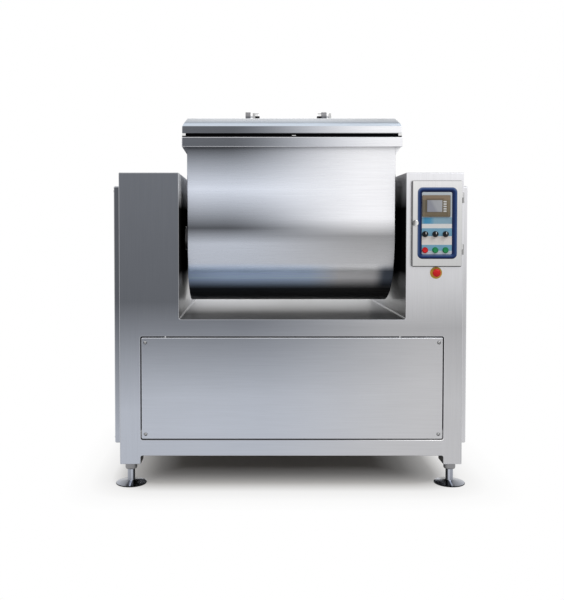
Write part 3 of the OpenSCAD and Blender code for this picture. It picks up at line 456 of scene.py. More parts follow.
def tab_tone(s):
    # Greys along the height: nearly black at the bottom, pale above.
    return s.ramp(s.split(s.pos)[2], [(1.759, 30), (1.765, 40), (1.767, 226), (1.779, 232)])


housing = steel("housing steel", housing_tone, 0.34, housing_grain,
                metal=housing_metal)
panel = steel("panel steel", panel_tone, 0.36, "x")
cover = steel("cover steel", cover_tone, 0.36, "z")
drum = steel("drum steel", drum_tone, 0.30, "x", metal=drum_metal)
rim = steel("rim steel", rim_tone, 0.30, "x", 0.03)
lid_steel = steel("lid steel", lid_tone, 0.30, "x", 0.03)
bright = steel("bright steel", 0.60, 0.26, "x", 0.04, 0.04)
dark = steel("satin steel", 0.26, 0.38, "z", 0.05)
polished = steel("polished steel", painted_chrome_reflection, 0.14, "z", 0.02, 0.02)
pin_steel = steel("pin steel", pin_tone, 0.12, "z", 0.02, 0.02)
lug_steel = steel("lug steel", lug_tone, 0.24, "z")
lock_steel = steel("lock steel", lock_tone, 0.2, "z", 0.02, 0.02)
tab_steel = steel("tab steel", tab_tone, 0.3, "x")
door_steel = steel("door steel", door_tone, 0.34, "z", 0.03)
foot_steel = steel("foot steel", foot_tone, 0.18, "x", 0.03, 0.02)
cast = moulded("cast iron", "cast_iron", (0.10, 0.105, 0.11), 0.62, 260, 0.4, 0.15,
               Metallic=0.6)
paint = moulded("machine enamel", "blue_paint", (0.07, 0.16, 0.36), 0.34, 300, 0.15, 0.08,
                Coat_Weight=0.3)
rubber = moulded("rubber", "black_rubber", (0.004, 0.004, 0.005), 0.8, 500, 0.2, 0.2, 0.02)
black = moulded("black plastic", "black_plastic", (0.012, 0.012, 0.014), 0.42, 700, 0.1, 0.2)
yellow = moulded("yellow plastic", "yellow_plastic", (0.70, 0.46, 0.07), 0.34)
red = moulded("red plastic", "red_plastic", (0.72, 0.013, 0.015), 0.30)
green = moulded("green plastic", "green_plastic", (0.015, 0.30, 0.10), 0.30)
white = moulded("white plastic", "pale_blue_plastic", (0.74, 0.74, 0.73), 0.42)


def navy_tone(s):
    """The door frame's roll with painted shading: light where it faces up or out, dark where it
    faces down or in.
    """
    nx, _, nz = s.split(s.normal)
    x = s.math("SUBTRACT", s.split(s.pos)[0], FRAME_MID)
    out = s.math("MULTIPLY", nx, s.math("SIGN", x))
    lit = s.math("ADD", s.math("MULTIPLY", out, 0.6), s.math("MULTIPLY", nz, 0.8))
    return s.ramp(lit, [(-0.40, (0.005, 0.014, 0.070)), (-0.12, (0.009, 0.026, 0.115)),
                        (0.0, (0.018, 0.052, 0.185)), (0.16, (0.040, 0.090, 0.25)),
                        (0.32, (0.11, 0.16, 0.31)), (0.7, (0.16, 0.21, 0.34))])


def film_tone(s):
    x, _, z = s.split(s.pos)
    bands = [(1.165, (0.64, 0.70, 0.80)), (1.187, (0.23, 0.47, 0.64)), (1.216, (0.91, 0.86, 0.83)),
             (1.2595, (0.23, 0.47, 0.64)), (1.298, (0.88, 0.87, 0.86)),
             (1.321, (0.10, 0.34, 0.60)), (1.3525, (0.64, 0.70, 0.74)),
             (1.480, (0.64, 0.70, 0.74))]
    banner = s.math("MULTIPLY", s.math("GREATER_THAN", z, 1.321), s.math("LESS_THAN", z, 1.3525))
    pale = s.ramp(x, [(0.650, (0.20, 0.40, 0.56)), (0.664, (0.07, 0.33, 0.56)),
                      (0.690, (0.10, 0.36, 0.58)), (0.712, (0.30, 0.50, 0.62)),
                      (0.798, (0.30, 0.46, 0.58))])
    return s.mix(banner, s.ramp(z, bands, "CONSTANT"), pale)


def bezel_tone(s):
    """Brown plastic with painted light and shade: lighter above and on the right, darker along the
    bottom, painted highlight lines down its raised edges at the left and right, and dark on the
    faces that don't look to the front.
    """
    x, _, z = s.split(s.pos)
    face = s.ramp(x, [(0.649, (0.17, 0.15, 0.12)), (0.672, (0.17, 0.15, 0.105)),
                      (0.676, (0.25, 0.20, 0.125)), (0.79, (0.27, 0.225, 0.15))])
    face = s.mix(s.fit(z, 1.438, 1.442), face, (0.36, 0.27, 0.19))
    face = s.mix(s.fit(z, 1.377, 1.381, 1.0, 0.0), face, (0.22, 0.175, 0.115))
    painted_highlight_line = s.math("ABSOLUTE", s.math("SUBTRACT", s.math("ABSOLUTE", s.math(
        "SUBTRACT", x, 0.71925)), 0.062))
    face = s.mix(s.fit(painted_highlight_line, 0.001, 0.002, 1.0, 0.0), face, (0.36, 0.29, 0.20))
    return s.mix(s.faces((0, -1, 0), 0.93), (0.10, 0.075, 0.04), face)


def screen_tone(s):
    """Grey glass with a painted sheen, lighter towards the upper right."""
    x, _, z = s.split(s.pos)
    slant = s.math("ADD", x, s.math("MULTIPLY", s.math("SUBTRACT", z, 1.41), 0.55))
    return s.ramp(slant, [(0.66, (0.30, 0.31, 0.37)), (0.70, (0.31, 0.32, 0.37)),
                          (0.715, (0.42, 0.43, 0.46)), (0.765, (0.45, 0.46, 0.48))])


def ring_tone(s):
    """Black rings round the selectors; the rings of the buttons have the buttons' colours."""
    x, _, z = s.split(s.pos)
    low = s.mix(s.math("GREATER_THAN", x, 0.69), (0.50, 0.012, 0.014), (0.014, 0.25, 0.085))
    return s.mix(s.math("LESS_THAN", z, 1.23), (0.012, 0.012, 0.014), low)


rings_mat = moulded("ring plastic", "black_plastic", (0.012, 0.012, 0.014), 0.4, tone=ring_tone)
navy = moulded("navy moulding", "navy_plastic", (0.026, 0.066, 0.215), 0.30, shine=0.15,
               tone=navy_tone)
film = moulded("operator film", "pale_blue_plastic", (0.62, 0.76, 0.86), 0.40, 700, 0.05, 0.02,
               tone=film_tone)
khaki = moulded("bezel plastic", "khaki_plastic", (0.25, 0.20, 0.12), 0.42, tone=bezel_tone)
screen = moulded("screen", "screen_glass", (0.50, 0.49, 0.60), 0.14, 1200, 0.02, 0.02, 0.5,
                 tone=screen_tone, Coat_Weight=0.3)


# Shapes: all builders take millimetres

def welded(name, verts, faces):
    """A mesh of points in millimetres, welded, with its faces turned outwards."""
    me = bpy.data.meshes.new(name)
    me.from_pydata([Vector(v) / 1000 for v in verts], [], faces)
    bm = bmesh.new()
    bm.from_mesh(me)
    bmesh.ops.remove_doubles(bm, verts=bm.verts, dist=1e-6)
    bmesh.ops.recalc_face_normals(bm, faces=bm.faces)
    bm.to_mesh(me)
    bm.free()
    return me


def smooth(me, sharp):
    """Smooth shading, with edges sharper than an angle kept."""
    for p in me.polygons:
        p.use_smooth = True
    me.set_sharp_from_angle(angle=math.radians(sharp))


def piece(name, verts, faces, mat, body, *nodes):
    return adopt(name, welded(name, verts, faces), mat, body, *nodes)


MADE = []
SHARP = 32  # degrees


def adopt(name, me, mat, body, *nodes, sharp=SHARP):
    me.materials.clear()
    me.materials.append(mat)
    smooth(me, sharp)
    ob = bpy.data.objects.new(name, me)
    scene.collection.objects.link(ob)
    if body:
        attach(ob, body)
    if nodes:
        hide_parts(*nodes)
    MADE.append(ob)
    return ob


def flatten_faces():
    """Weighs each piece's normals by face, so that large faces next to rounded edges stay flat."""
    for ob in MADE:
        m = ob.modifiers.new("normals", "WEIGHTED_NORMAL")
        m.keep_sharp, m.weight = True, 60


def arc(cx, cy, r, a0, a1, n):
    return [(cx + r * math.cos(math.radians(a0 + (a1 - a0) * i / n)),
             cy + r * math.sin(math.radians(a0 + (a1 - a0) * i / n))) for i in range(n + 1)]


def rounded(points, radii, n=5):
    """A closed outline with its corners rounded; radii is one number or one for each corner."""
    out = []
    m = len(points)
    if not isinstance(radii, (list, tuple)):
        radii = [radii] * m
    for i in range(m):
        p, a, b = (Vector(points[j % m]) for j in (i, i - 1, i + 1))
        u, v = (a - p).normalized(), (b - p).normalized()
        half = u.angle(v) / 2
        if radii[i] <= 0:
            out.append(tuple(p))
            continue
        d = radii[i] / math.tan(half)
        c = p + (u + v).normalized() * radii[i] / math.sin(half)
        s, e = p + u * d - c, p + v * d - c
        turn = s.angle_signed(e)
        for k in range(n + 1):
            t = -turn * k / n
            out.append((c.x + s.x * math.cos(t) - s.y * math.sin(t),
                        c.y + s.x * math.sin(t) + s.y * math.cos(t)))
    return out


def rect(u0, u1, v0, v1, r=0, n=5):
    return rounded([(u0, v0), (u1, v0), (u1, v1), (u0, v1)], r, n)


def area(loop):
    return sum(a[0] * b[1] - b[0] * a[1] for a, b in zip(loop, loop[1:] + loop[:1])) / 2


def inset(loop, d):
    """Moves an anticlockwise outline inwards by d."""
    out = []
    m = len(loop)
    for i in range(m):
        a, p, b = (Vector(loop[j % m]) for j in (i - 1, i, i + 1))
        e, f = (p - a).normalized(), (b - p).normalized()
        n1, n2 = Vector((-e.y, e.x)), Vector((-f.y, f.x))
        k = (n1 + n2)
        k = k / max(k.dot(n1), 0.2)
        out.append(tuple(p + k * d))
    return out


PLANE = {"xz": lambda u, v, a: (u, a, v), "xy": lambda u, v, a: (u, v, a),
         "yz": lambda u, v, a: (a, u, v)}


def prism(loops, a0, a1, r0, r1, plane, steps=3):
    """Vertices and faces of an outline with holes, run from a0 to a1, its end edges rounded."""
    put = PLANE[plane]
    verts, faces = [], []
    rings = [(r0 * (1 - math.sin(math.pi / 2 * k / steps)), a0 + r0 * (1 - math.cos(
        math.pi / 2 * k / steps))) for k in range(steps + 1)] if r0 else [(0, a0)]
    rings += [(r1 * (1 - math.cos(math.pi / 2 * k / steps)), a1 - r1 * (1 - math.sin(
        math.pi / 2 * k / steps))) for k in range(steps + 1)] if r1 else [(0, a1)]
    ends = ([], [])
    for k, loop in enumerate(loops):
        if (area(loop) > 0) != (k == 0):
            loop = loop[::-1]
        m = len(loop)
        start = len(verts)
        for d, a in rings:
            verts += [put(u, v, a) for u, v in inset(loop, d)]
        for j in range(len(rings) - 1):
            o = start + j * m
            faces += [(o + i, o + (i + 1) % m, o + m + (i + 1) % m, o + m + i)
                      for i in range(m)]
        ends[0].append(range(start, start + m))
        ends[1].append(range(start + (len(rings) - 1) * m, start + len(rings) * m))
    for end in ends:
        ids = [i for ring in end for i in ring]
        flat = [[Vector(verts[i]) for i in ring] for ring in end]
        if len(flat) == 1:
            faces.append(tuple(ids))
        else:
            faces += [tuple(ids[i] for i in t) for t in tessellate_polygon(flat)]
    return verts, faces


def join(*parts):
    verts, faces = [], []
    for v, f in parts:
        o = len(verts)
        verts += v
        faces += [tuple(i + o for i in q) for q in f]
    return verts, faces


def block(x0, x1, y0, y1, z0, z1, r=0):
    return prism([rect(x0, x1, z0, z1, r, 3)], y0, y1, r, r, "xz", 2)


# For each axis, the way along it and the two ways across it
AXES = {
    "x": ((1, 0, 0), (0, 1, 0), (0, 0, 1)), "-x": ((-1, 0, 0), (0, 1, 0), (0, 0, 1)),
    "y": ((0, 1, 0), (1, 0, 0), (0, 0, 1)), "-y": ((0, -1, 0), (1, 0, 0), (0, 0, 1)),
    "z": ((0, 0, 1), (1, 0, 0), (0, 1, 0))}


def turned(profile, at, axis="z", n=40, hexed=()):
    """A profile of (radius, height) turned round an axis through at; hexed rings have flats."""
    c = Vector(at)
    along, u, v = (Vector(w) for w in AXES[axis])
    verts, faces = [], []
    for k, (r, h) in enumerate(profile):
        for i in range(n):
            t = 2 * math.pi * i / n
            q = r / math.cos((t + math.pi / 6) % (math.pi / 3) - math.pi / 6) * 0.95 \
                if k in hexed else r
            verts.append(tuple(c + along * h + (u * math.cos(t) + v * math.sin(t)) * q))
    for k in range(len(profile) - 1):
        o = k * n
        faces += [(o + i, o + (i + 1) % n, o + n + (i + 1) % n, o + n + i) for i in range(n)]
    if profile[0] != profile[-1]:
        faces.append(tuple(range(n)))
        faces.append(tuple(range((len(profile) - 1) * n, len(profile) * n)))
    return verts, faces


def dome(r, h0, h1, n=6, r_in=0.0):
    """The profile of a dome from radius r at h0 to r_in at h1."""
    return [(r_in + (r - r_in) * math.cos(math.pi / 2 * k / n),
             h0 + (h1 - h0) * math.sin(math.pi / 2 * k / n)) for k in range(n + 1)]


def cut(ob, tools):
    """Takes closed solids away from a piece and removes them."""
    for v, f in tools:
        t = bpy.data.objects.new("tool", welded("tool", v, f))
        scene.collection.objects.link(t)
        m = ob.modifiers.new("cut", "BOOLEAN")
        m.operation, m.solver, m.object = "DIFFERENCE", "EXACT", t
        bpy.context.view_layer.update()
        new = bpy.data.meshes.new_from_object(ob.evaluated_get(
            bpy.context.evaluated_depsgraph_get()))
        ob.modifiers.clear()
        ob.data = new
        bpy.data.objects.remove(t)
    smooth(ob.data, SHARP)


def from_node(node, mat, bevel=1.0, segments=2, name=None):
    """A CAD node's shape with its edges eased, in place of the node."""
    me = frame["nodes"][node].data.copy()
    bm = bmesh.new()
    bm.from_mesh(me)
    bmesh.ops.remove_doubles(bm, verts=bm.verts, dist=1e-5)
    bmesh.ops.dissolve_limit(bm, angle_limit=math.radians(1.0), verts=bm.verts, edges=bm.edges)
    bm.to_mesh(me)
    bm.free()
    ob = adopt(name or node + ".eased", me, mat, body_of[node], node, sharp=40)
    m = ob.modifiers.new("ease", "BEVEL")
    m.width, m.segments, m.limit_method = bevel / 1000, segments, "ANGLE"
    m.angle_limit, m.harden_normals = math.radians(35), False
    return ob


def dress(mat, *nodes):
    for n in nodes:
        me = frame["nodes"][n].data
        me.materials.clear()
        me.materials.append(mat)


# Camera and light

CAMERA_AT, CAMERA_DOWN = (-0.205, -4.47, 1.285), 1.8  # metres, degrees below level
CAMERA_SHIFT = (0.053, -0.074)


def look():
    cam = bpy.data.objects.new("camera", bpy.data.cameras.new("camera"))
    scene.collection.objects.link(cam)
    cam.data.sensor_width, cam.data.lens = 36, 46.8
    cam.data.shift_x, cam.data.shift_y = CAMERA_SHIFT
    cam.location = CAMERA_AT
    cam.rotation_euler = (math.radians(90 - CAMERA_DOWN), 0, 0)
    cam.data.clip_end = 60
    scene.camera = cam
    scene.view_settings.view_transform = "Standard"


def light():
    world = bpy.data.worlds.new("studio")
    scene.world = world
    world.use_nodes = True
    t = world.node_tree
    t.nodes.clear()
    out = t.nodes.new("ShaderNodeOutputWorld")
    mix = t.nodes.new("ShaderNodeMixShader")
    plain, seen = (t.nodes.new("ShaderNodeBackground") for _ in range(2))
    plain.inputs[0].default_value = (0.93, 0.96, 1.0, 1)
    plain.inputs[1].default_value = 0.62
    seen.inputs[0].default_value = (1, 1, 1, 1)
    seen.inputs[1].default_value = 1.0
    path = t.nodes.new("ShaderNodeLightPath")
    a, b = (t.nodes.new("ShaderNodeMath") for _ in range(2))
    a.operation = b.operation = "MAXIMUM"
    t.links.new(path.outputs["Is Camera Ray"], a.inputs[0])
    t.links.new(path.outputs["Is Glossy Ray"], a.inputs[1])
    t.links.new(a.outputs[0], b.inputs[0])
    t.links.new(path.outputs["Is Transmission Ray"], b.inputs[1])
    t.links.new(b.outputs[0], mix.inputs[0])
    t.links.new(plain.outputs[0], mix.inputs[1])
    t.links.new(seen.outputs[0], mix.inputs[2])
    t.links.new(mix.outputs[0], out.inputs[0])
    for name, at, size, power, to in (
            ("key", (2.8, -2.4, 4.4), 2.6, 60, (0, 0, 0.8)),
            ("fill", (-3.2, -2.6, 3.4), 2.4, 22, (0, 0, 1.0)),
            ("back", (0.5, 3.2, 3.4), 2.6, 40, (0, 0, 1.2))):
        lamp = bpy.data.lights.new(name, "AREA")
        lamp.size, lamp.energy = size, power
        ob = bpy.data.objects.new(name, lamp)
        scene.collection.objects.link(ob)
        ob.location = at
        ob.rotation_euler = (Vector(to) - Vector(at)).to_track_quat("-Z", "Y").to_euler()


def ground():
    """A floor whose shade near the machine is partly its real shadow and partly painted shade, as
    a grey patch set by place round the machine, and which glows plain white further out.
    """
    me = bpy.data.meshes.new("floor")
    me.from_pydata([(-25, -25, 0), (25, -25, 0), (25, 25, 0), (-25, 25, 0)], [], [(0, 1, 2, 3)])
    s = Shader("floor", (0.475, 0.44, 0.40), 0.9)
    x, y, _ = s.split(s.pos)
    dx = s.math("SUBTRACT", s.math("ABSOLUTE", s.math("ADD", x, 0.05)), 0.53)
    dx = s.math("MAXIMUM", s.math("MULTIPLY", dx, s.fit(x, -0.2, 0.2, 1.2, 1.02)), 0.0)
    dy = s.math("MAXIMUM", s.math("SUBTRACT", s.math("ABSOLUTE", y), 0.24), 0.0)
    d = s.math("POWER", s.math("ADD", s.math("POWER", dx, 4.0), s.math("POWER", dy, 4.0)), 0.25)
    glow = s.add("Emission")
    glow.inputs[0].default_value = (1, 1, 1, 1)
    path = s.add("LightPath")
    seen = s.math("MAXIMUM", path.outputs["Is Camera Ray"], path.outputs["Is Glossy Ray"])
    seen = s.math("MAXIMUM", seen, path.outputs["Is Transmission Ray"])
    fade = s.ramp(d, [(at, (v,) * 3) for at, v in (
        (0, 0), (0.14, 0.08), (0.285, 0.24), (0.42, 0.80), (0.55, 0.945), (0.70, 1))])
    mix = s.add("MixShader")
    s.link(s.math("MULTIPLY", fade, seen), mix.inputs[0])
    s.link(s.bsdf.outputs[0], mix.inputs[1])
    s.link(glow.outputs[0], mix.inputs[2])
    s.link(mix.outputs[0], s.out.inputs[0])
    me.materials.append(s.mat)
    ob = bpy.data.objects.new("floor", me)
    scene.collection.objects.link(ob)


# Housing

def casing():
    outline = [(-SIDE, LEG), (OPEN_X0, LEG), (OPEN_X0, RAIL), (OPEN_X1, RAIL), (OPEN_X1, LEG),
               (SIDE, LEG), (SIDE, TOP), (RIGHT_IN, TOP), (RIGHT_IN, SADDLE), (LEFT_IN, SADDLE),
               (LEFT_IN, TOP), (-SIDE, TOP)]
    radii = [3, 3, 8, 8, 3, 3, 4, 4, 9, 9, 4, 4]
    opening = rect(OPEN_X0, OPEN_X1, OPEN_Z0, OPEN_Z1, 9)
    ob = piece("casing", *prism([rounded(outline, radii), opening], FRONT, REAR, 4, 4, "xz"),
               housing, "root", "frame_posts", "frame_rails", "column_front_plates",
               "column_rear_plates", "column_top_plates", "column_inner_plates", "saddle_pan")
    tools = [block(-900, 900, FRONT + 100, REAR - 100, 50, RAIL),
             block(-SIDE + 60, SIDE - 60, FRONT + 100, REAR - 100, 51, DECK),
             block(OPEN_X0, OPEN_X1, FRONT + 60, REAR - 60, 52, DECK),
             block(-SIDE + 4, SIDE - 4, FRONT + 45, REAR - 45, DECK, SADDLE - 4),
             block(-SIDE + 5, LEFT_IN - 8, FRONT + 3, REAR - 3, 800, TOP - 4),
             block(RIGHT_IN + 8, SIDE - 5, FRONT + 3, REAR - 3, 800, TOP - 4),
             turned([(70, LEFT_IN - 20), (70, LEFT_IN + 20)], (0, AXIS_Y, AXIS_Z), "x"),
             turned([(70, RIGHT_IN - 20), (70, RIGHT_IN + 20)], (0, AXIS_Y, AXIS_Z), "x"),
             prism([rect(DOOR_X0 + 8, DOOR_X1 - 8, DOOR_Z0 + 8, DOOR_Z1 - 8, 6)], FRONT - 9,
                   FRONT + 9, 0, 0, "xz"),
             turned([(12, FRONT - 9), (12, FRONT + 9)], (STOP[0], 0, STOP[1]), "y")]
    cut(ob, tools)


SCREW_X, SCREW_Z = (-732, 743), (263, 726)


def panels():
    face = rect(OPEN_X0 + 5, OPEN_X1 - 5, OPEN_Z0 + 5, OPEN_Z1 - 6, 6)
    ob = piece("front_panel.sheet", *prism([face], FRONT, FRONT + 12, 4.2, 0, "xz"), panel,
               "root", "front_panel")
    cut(ob, [turned([(10.6, FRONT - 1), (9.6, FRONT), (7.2, FRONT + 2.6)], (x, 0, z), "y", 28)
             for x in SCREW_X for z in SCREW_Z])
    hole = [(GLAND[0] + u, GLAND[1] + v) for u, v in arc(0, 0, 9.6, 0, 345, 23)]
    piece("rear_panel.sheet", *prism([face, hole], REAR - 12, REAR, 0, 2.6, "xz"), panel, "root",
          "rear_panel")
    edge = rect(FRONT + 60, REAR - 60, 201, 1513, 9)
    piece("left_side_cover.pan", *prism([edge], -SIDE - 35, -SIDE, 7, 0, "yz", 4), cover, "root",
          "left_side_cover")
    piece("right_side_cover.pan", *prism([edge], SIDE, SIDE + 35, 0, 7, "yz", 4), cover, "root",
          "right_side_cover")


SCREW = [(7, -2.2), (7, 1.0), (6.6, 1.9), (5.6, 2.6), (4.2, 3.0), (3.2, 3.0), (3.1, 1.0)]


def screws():
    parts = []
    for x in SCREW_X:
        for z in SCREW_Z:
            parts.append(turned(SCREW, (x, FRONT, z), "-y", 24, (5, 6)))
            parts.append(turned(SCREW, (x, REAR, z), "y", 24, (5, 6)))
    for y in (FRONT + 80, REAR - 80):
        for z in (230, 1488):
            parts.append(turned(SCREW, (-SIDE - 35, y, z), "-x", 24, (5, 6)))
            parts.append(turned(SCREW, (SIDE + 35, y, z), "x", 24, (5, 6)))
    piece("cover_screws.socket", *join(*parts), polished, "root", "cover_screws")


def feet():
    posts, collars = [], []
    for x in (-FOOT_X, FOOT_X):
        for y in (FRONT + FOOT_IN, REAR - FOOT_IN):
            posts.append(turned([(76, 0), (78, 1.4), (78, 4.0), (76.6, 5.4), (72, 6.8),
                                 (50, 11), (30, 14.5), (24, 16), (20.5, 17.5), (19, 20),
                                 (19, 147)], (x, y, 0), "z", 72))
            collars.append(turned([(19.4, 76), (25, 76), (27.4, 77), (29.4, 80.5), (30, 84),
                                   (30, 106), (29.2, 108.2), (27, 109), (19.4, 109), (19.4, 76)],
                                  (x, y, 0), "z", 48))
    piece("feet.turned", *join(*posts), foot_steel, "root", "feet")
    piece("foot_collars.turned", *join(*collars), dark, "root", "foot_collars")


# Trough and lid

def u_shape(t, top):
    r = DRUM_R - t
    return [(AXIS_Y - r, top)] + arc(AXIS_Y, AXIS_Z, r, 180, 360, 56) + [(AXIS_Y + r, top)]


def trough():
    ob = piece("trough.drum", *prism([u_shape(0, RIM_Z1 - 0.5)], TX0, TX1, 4, 4, "yz"), drum,
               "trough", "trough_shell", "trough_ends")
    cut(ob, [prism([u_shape(6, RIM_Z1 + 60)], TX0 + 8, TX1 - 8, 3, 3, "yz"),
             turned([(45, TX0 - 9), (45, TX1 + 9)], (0, AXIS_Y, AXIS_Z), "x")])
    gussets = []
    for y in (AXIS_Y - DRUM_R, AXIS_Y + DRUM_R - 8):
        for x0, x1 in ((TX0 + 1, RX0), (TX1 - 1, RX1)):
            tri = [(x1, RIM_Z0 + 1), (x0, RIM_Z0 + 1), (x0, RIM_Z0 - 35)]
            gussets.append(prism([tri if area(tri) > 0 else tri[::-1]], y, y + 8, 0.8, 0.8,
                                 "xz", 2))
    piece("trough.gussets", *join(*gussets), rim, "trough")
    ring = [rect(RX0, RX1, AXIS_Y - RIM_D, AXIS_Y + RIM_D, 5),
            rect(TX0 + 0.5, TX1 - 0.5, AXIS_Y - DRUM_R + 0.5, AXIS_Y + DRUM_R - 0.5, 2)]
    piece("trough_rim.bar", *prism(ring, RIM_Z0, RIM_Z1, 3, 3, "xy"), rim, "trough",
          "trough_rim")
    from_node("trunnions", dark, 1.5)
    seal = [(35.8, 0), (44.4, 0), (45, 0.6), (45, 29.4), (44.4, 30), (35.8, 30), (35.8, 0)]
    piece("shaft_seals.turned", *join(turned(seal, (TX0, AXIS_Y, AXIS_Z), "-x", 72),
                                      turned(seal, (TX1, AXIS_Y, AXIS_Z), "x", 72)),
          rubber, "trough", "shaft_seals")
    from_node("lid_hinge_brackets", rim, 1.5)
    from_node("lid_locators", tab_steel, 0.8)


def lid():
    x0, x1, y0, y1 = MID - 555, MID + 555, AXIS_Y - 395, AXIS_Y + 395
    outer = [(1779, 0, 0), (1815, 0, 0), (1830, 8, 8), (1863, 22, 68)]
    inner = [(1856, 24, 71), (1827, 12, 12), (1813, 4, 4), (1779, 4, 4)]
    verts, faces = [], []
    for z, ix, iy in outer + inner:
        verts += [(u, v, z) for u, v in rect(x0 + ix, x1 - ix, y0 + iy, y1 - iy, 5, 4)]
    m = len(verts) // 8
    for k in range(8):
        if k == 3:
            continue
        o, p = k * m, (k + 1) % 8 * m
        faces += [(o + i, o + (i + 1) % m, p + (i + 1) % m, p + i) for i in range(m)]
    faces += [tuple(range(3 * m, 4 * m)), tuple(range(4 * m, 5 * m))]
    ob = piece("lid.pressed", verts, faces, lid_steel, "lid", "lid_shell")
    b = ob.modifiers.new("fold", "BEVEL")
    b.width, b.segments, b.limit_method, b.angle_limit = 0.0028, 3, "ANGLE", math.radians(24)
    from_node("lid_seal", rubber, 3.0, 3)
    from_node("lid_lugs", lug_steel, 1.6, 3)
    from_node("lid_arms", dark, 3.0, 3)
    from_node("lid_hinge_shaft", polished, 1.5)
    heads = []
    for x, axis in ((-177, "x"), (189, "-x")):
        heads.append(turned([(9, -54), (9, -1), (14.6, -0.6), (16, 1.4), (16, 16)] +
                            dome(16, 17, 26, 6, 2), (x, AXIS_Y, 1922), axis, 40))
    piece("lid_pins.domed", *join(*heads), pin_steel, "lid", "lid_pins")


def agitator():
    from_node("agitator_shaft", bright, 2.0)
    from_node("agitator_spiders", bright, 4.0, 3)
    from_node("kneading_bars", polished, 0.8)
    dress(cast, "driven_pulley", "motor_pulley")
    dress(bright, "motor_shaft")


# Controls

def moulding(outer, inner, y, heights):
    """A band between two outlines; heights are (share across, height) of its section."""
    verts, faces = [], []
    m = len(outer)
    for s, h in heights:
        verts += [(a[0] + (b[0] - a[0]) * s, y - h, a[1] + (b[1] - a[1]) * s)
                  for a, b in zip(outer, inner)]
    k = len(heights)
    for j in range(k):
        o, p = j * m, (j + 1) % k * m
        faces += [(o + i, o + (i + 1) % m, p + (i + 1) % m, p + i) for i in range(m)]
    return verts, faces


def door():
    from_node("control_door", door_steel, 0.8)
    from_node("control_cabinet", door_steel, 0.8)
    from_node("hinge_leaves", polished, 0.8)
    outer = rect(627.5, 824.4, 1146.5, 1502.5, 25, 8)
    inner = rect(648.5, 798.5, 1169.5, 1478.5, 7, 8)
    section = [(0, 0), (0, 0.8), (0.03, 2.0), (0.10, 3.3), (0.20, 4.4), (0.32, 5.2), (0.45, 5.5),
               (0.55, 5.4), (0.68, 4.7), (0.80, 3.6), (0.91, 2.3), (0.98, 1.2), (1, 0)]
    piece("door_frame.moulded", *moulding(outer, inner, DOOR_Y, section), navy, "door",
          "door_frame")
    piece("control_plate.film", *prism([rect(648.8, 798.2, 1169.8, 1478.2, 6)], PLATE_Y, DOOR_Y,
                                       0.6, 0, "xz", 2), film, "door", "control_plate")
    glass = rect(673.5, 748.5, 1380, 1439, 0.6, 8)
    step = [(0, 0), (0, 4.6), (0.02, 5.6), (0.06, 6), (0.66, 6), (0.72, 5.6), (0.97, 3.6),
            (1, 3.4), (1, 0)]
    piece("hmi_bezel.moulded", *moulding(rect(649.5, 789, 1356, 1463, 3, 8), glass, PLATE_Y, step),
          khaki, "door", "hmi_bezel")
    keys = [block(753.8, 769.3, PLATE_Y - 7, PLATE_Y - 4.5, 1380 + 11.8 * i, 1387.1 + 11.8 * i,
                  0.8) for i in range(5)]
    piece("hmi_keys", *join(*keys), white, "door")
    piece("hmi_screen.glass", *prism([rect(673.6, 748.4, 1380.1, 1438.9, 1)], PLATE_Y - 5,
                                     PLATE_Y - 1, 0.4, 0, "xz", 2), screen, "door", "hmi_screen")


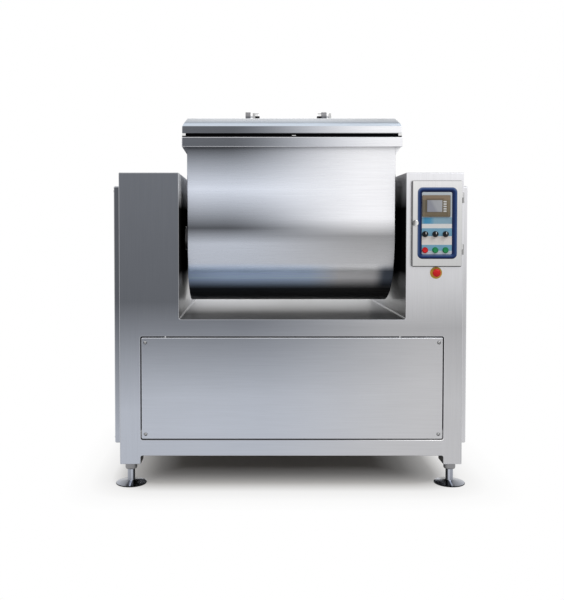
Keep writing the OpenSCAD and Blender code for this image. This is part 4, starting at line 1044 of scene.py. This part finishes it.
def operators():
    rings = []
    for i in (-1, 0, 1):
        for z in (SELECTOR_Z, BUTTON_Z):
            rings.append(turned([(12, 0), (15, 0), (15, 4.2), (14.3, 5.5), (13.2, 6), (12, 6),
                                 (12, 0)], (OPERATOR_X + PITCH * i, PLATE_Y, z), "-y", 40))
    piece("operator_collars.turned", *join(*rings), rings_mat, "door", "operator_collars")
    for i, name in ((-1, "left_selector"), (0, "middle_selector"), (1, "right_selector")):
        x, z = OPERATOR_X + PITCH * i, SELECTOR_Z
        y = PLATE_Y - 6.3
        knob = turned([(11.95, -6), (11.95, 0), (14, 0), (14, 4.4), (13, 6)], (x, y, z), "-y", 36)
        grip = prism([rect(x - 4.5, x + 4.5, z - 11.7, z + 11.7, 3, 4)], y - 16, y - 5, 1.8, 0,
                     "xz", 3)
        piece(name + ".knob", *join(knob, grip), black, name, name)
        mark = block(x - 1.8, x + 2.2, y - 16.5, y - 14, z, z + 10.5, 0.4)
        piece(name + ".mark", *mark, white, name)
    cap = [(11.7, -1.7), (11.7, 3.2), (11.2, 3.9), (10.4, 4.0), (9.4, 3.7), (5.0, 3.1),
           (1.0, 3.0)]
    for i, name, mat in ((-1, "red_button", red), (0, "middle_green_button", green),
                         (1, "right_green_button", green)):
        piece(name + ".cap", *turned(cap, (OPERATOR_X + PITCH * i, PLATE_Y - 6, BUTTON_Z), "-y",
                                     40), mat, name, name)


def lock_and_stop():
    (x, z), y = LOCK, DOOR_Y - 3.3
    knob = turned([(6, -20.8), (6, 0), (14.4, 0), (15, 0.8), (15, 3.6), (14.2, 5.2), (12.4, 6),
                   (10.8, 5.6), (9.6, 4.4), (2, 4.2)], (x, y, z), "-y", 44)
    tongue = block(x - 6, x + 6, FRONT + 4, FRONT + 7, z - 6, z + 15, 0.8)
    bar = block(x - 2.4, x + 2.4, y - 5.6, y - 4, z - 9, z + 9, 0.4)
    piece("lock_knob.turned", *join(knob, tongue, bar), lock_steel, "lock", "lock_knob")
    at = (STOP[0], FRONT, STOP[1])
    ring = [(11.1, 0), (28.6, 0), (30, 0.8), (30, 1.8), (28.6, 3), (14, 3), (11.1, 2.4),
            (11.1, 0)]
    piece("estop_collar.disc", *turned(ring, at, "-y", 56), yellow, "root", "estop_collar")
    head = [(11, -10), (11, 11.2), (17, 11.6), (19.4, 12.6), (20, 14), (20, 16.6), (19.2, 19.4),
            (17, 22), (13, 24), (8, 25.3), (2, 26)]
    piece("estop_head.cap", *turned(head, at, "-y", 48), red, "estop", "estop_head")


def gland():
    body = turned([(9, 0), (20, 0), (20, 9), (18.6, 10.4), (16, 10.6), (16, 14), (15.4, 14),
                   (17.4, 14.2), (17.4, 24), (16, 28), (13, 31), (11, 32), (9, 32), (9, 0)],
                  (GLAND[0], REAR, GLAND[1]), "y", 48, (1, 2, 7, 8))
    piece("cable_gland.nut", *body, black, "root", "cable_gland")


look()
light()
ground()
casing()
panels()
screws()
feet()
trough()
lid()
agitator()
door()
operators()
lock_and_stop()
gland()
dress(dark, "machinery_deck", "bearing_bolts")
dress(cast, "trunnion_bearings")
dress(paint, "main_gearmotor", "tilt_reducer", "tilt_motor", "vacuum_pump")
dress(rubber, "drive_belts")
dress(bright, "vacuum_pipe")
flatten_faces()
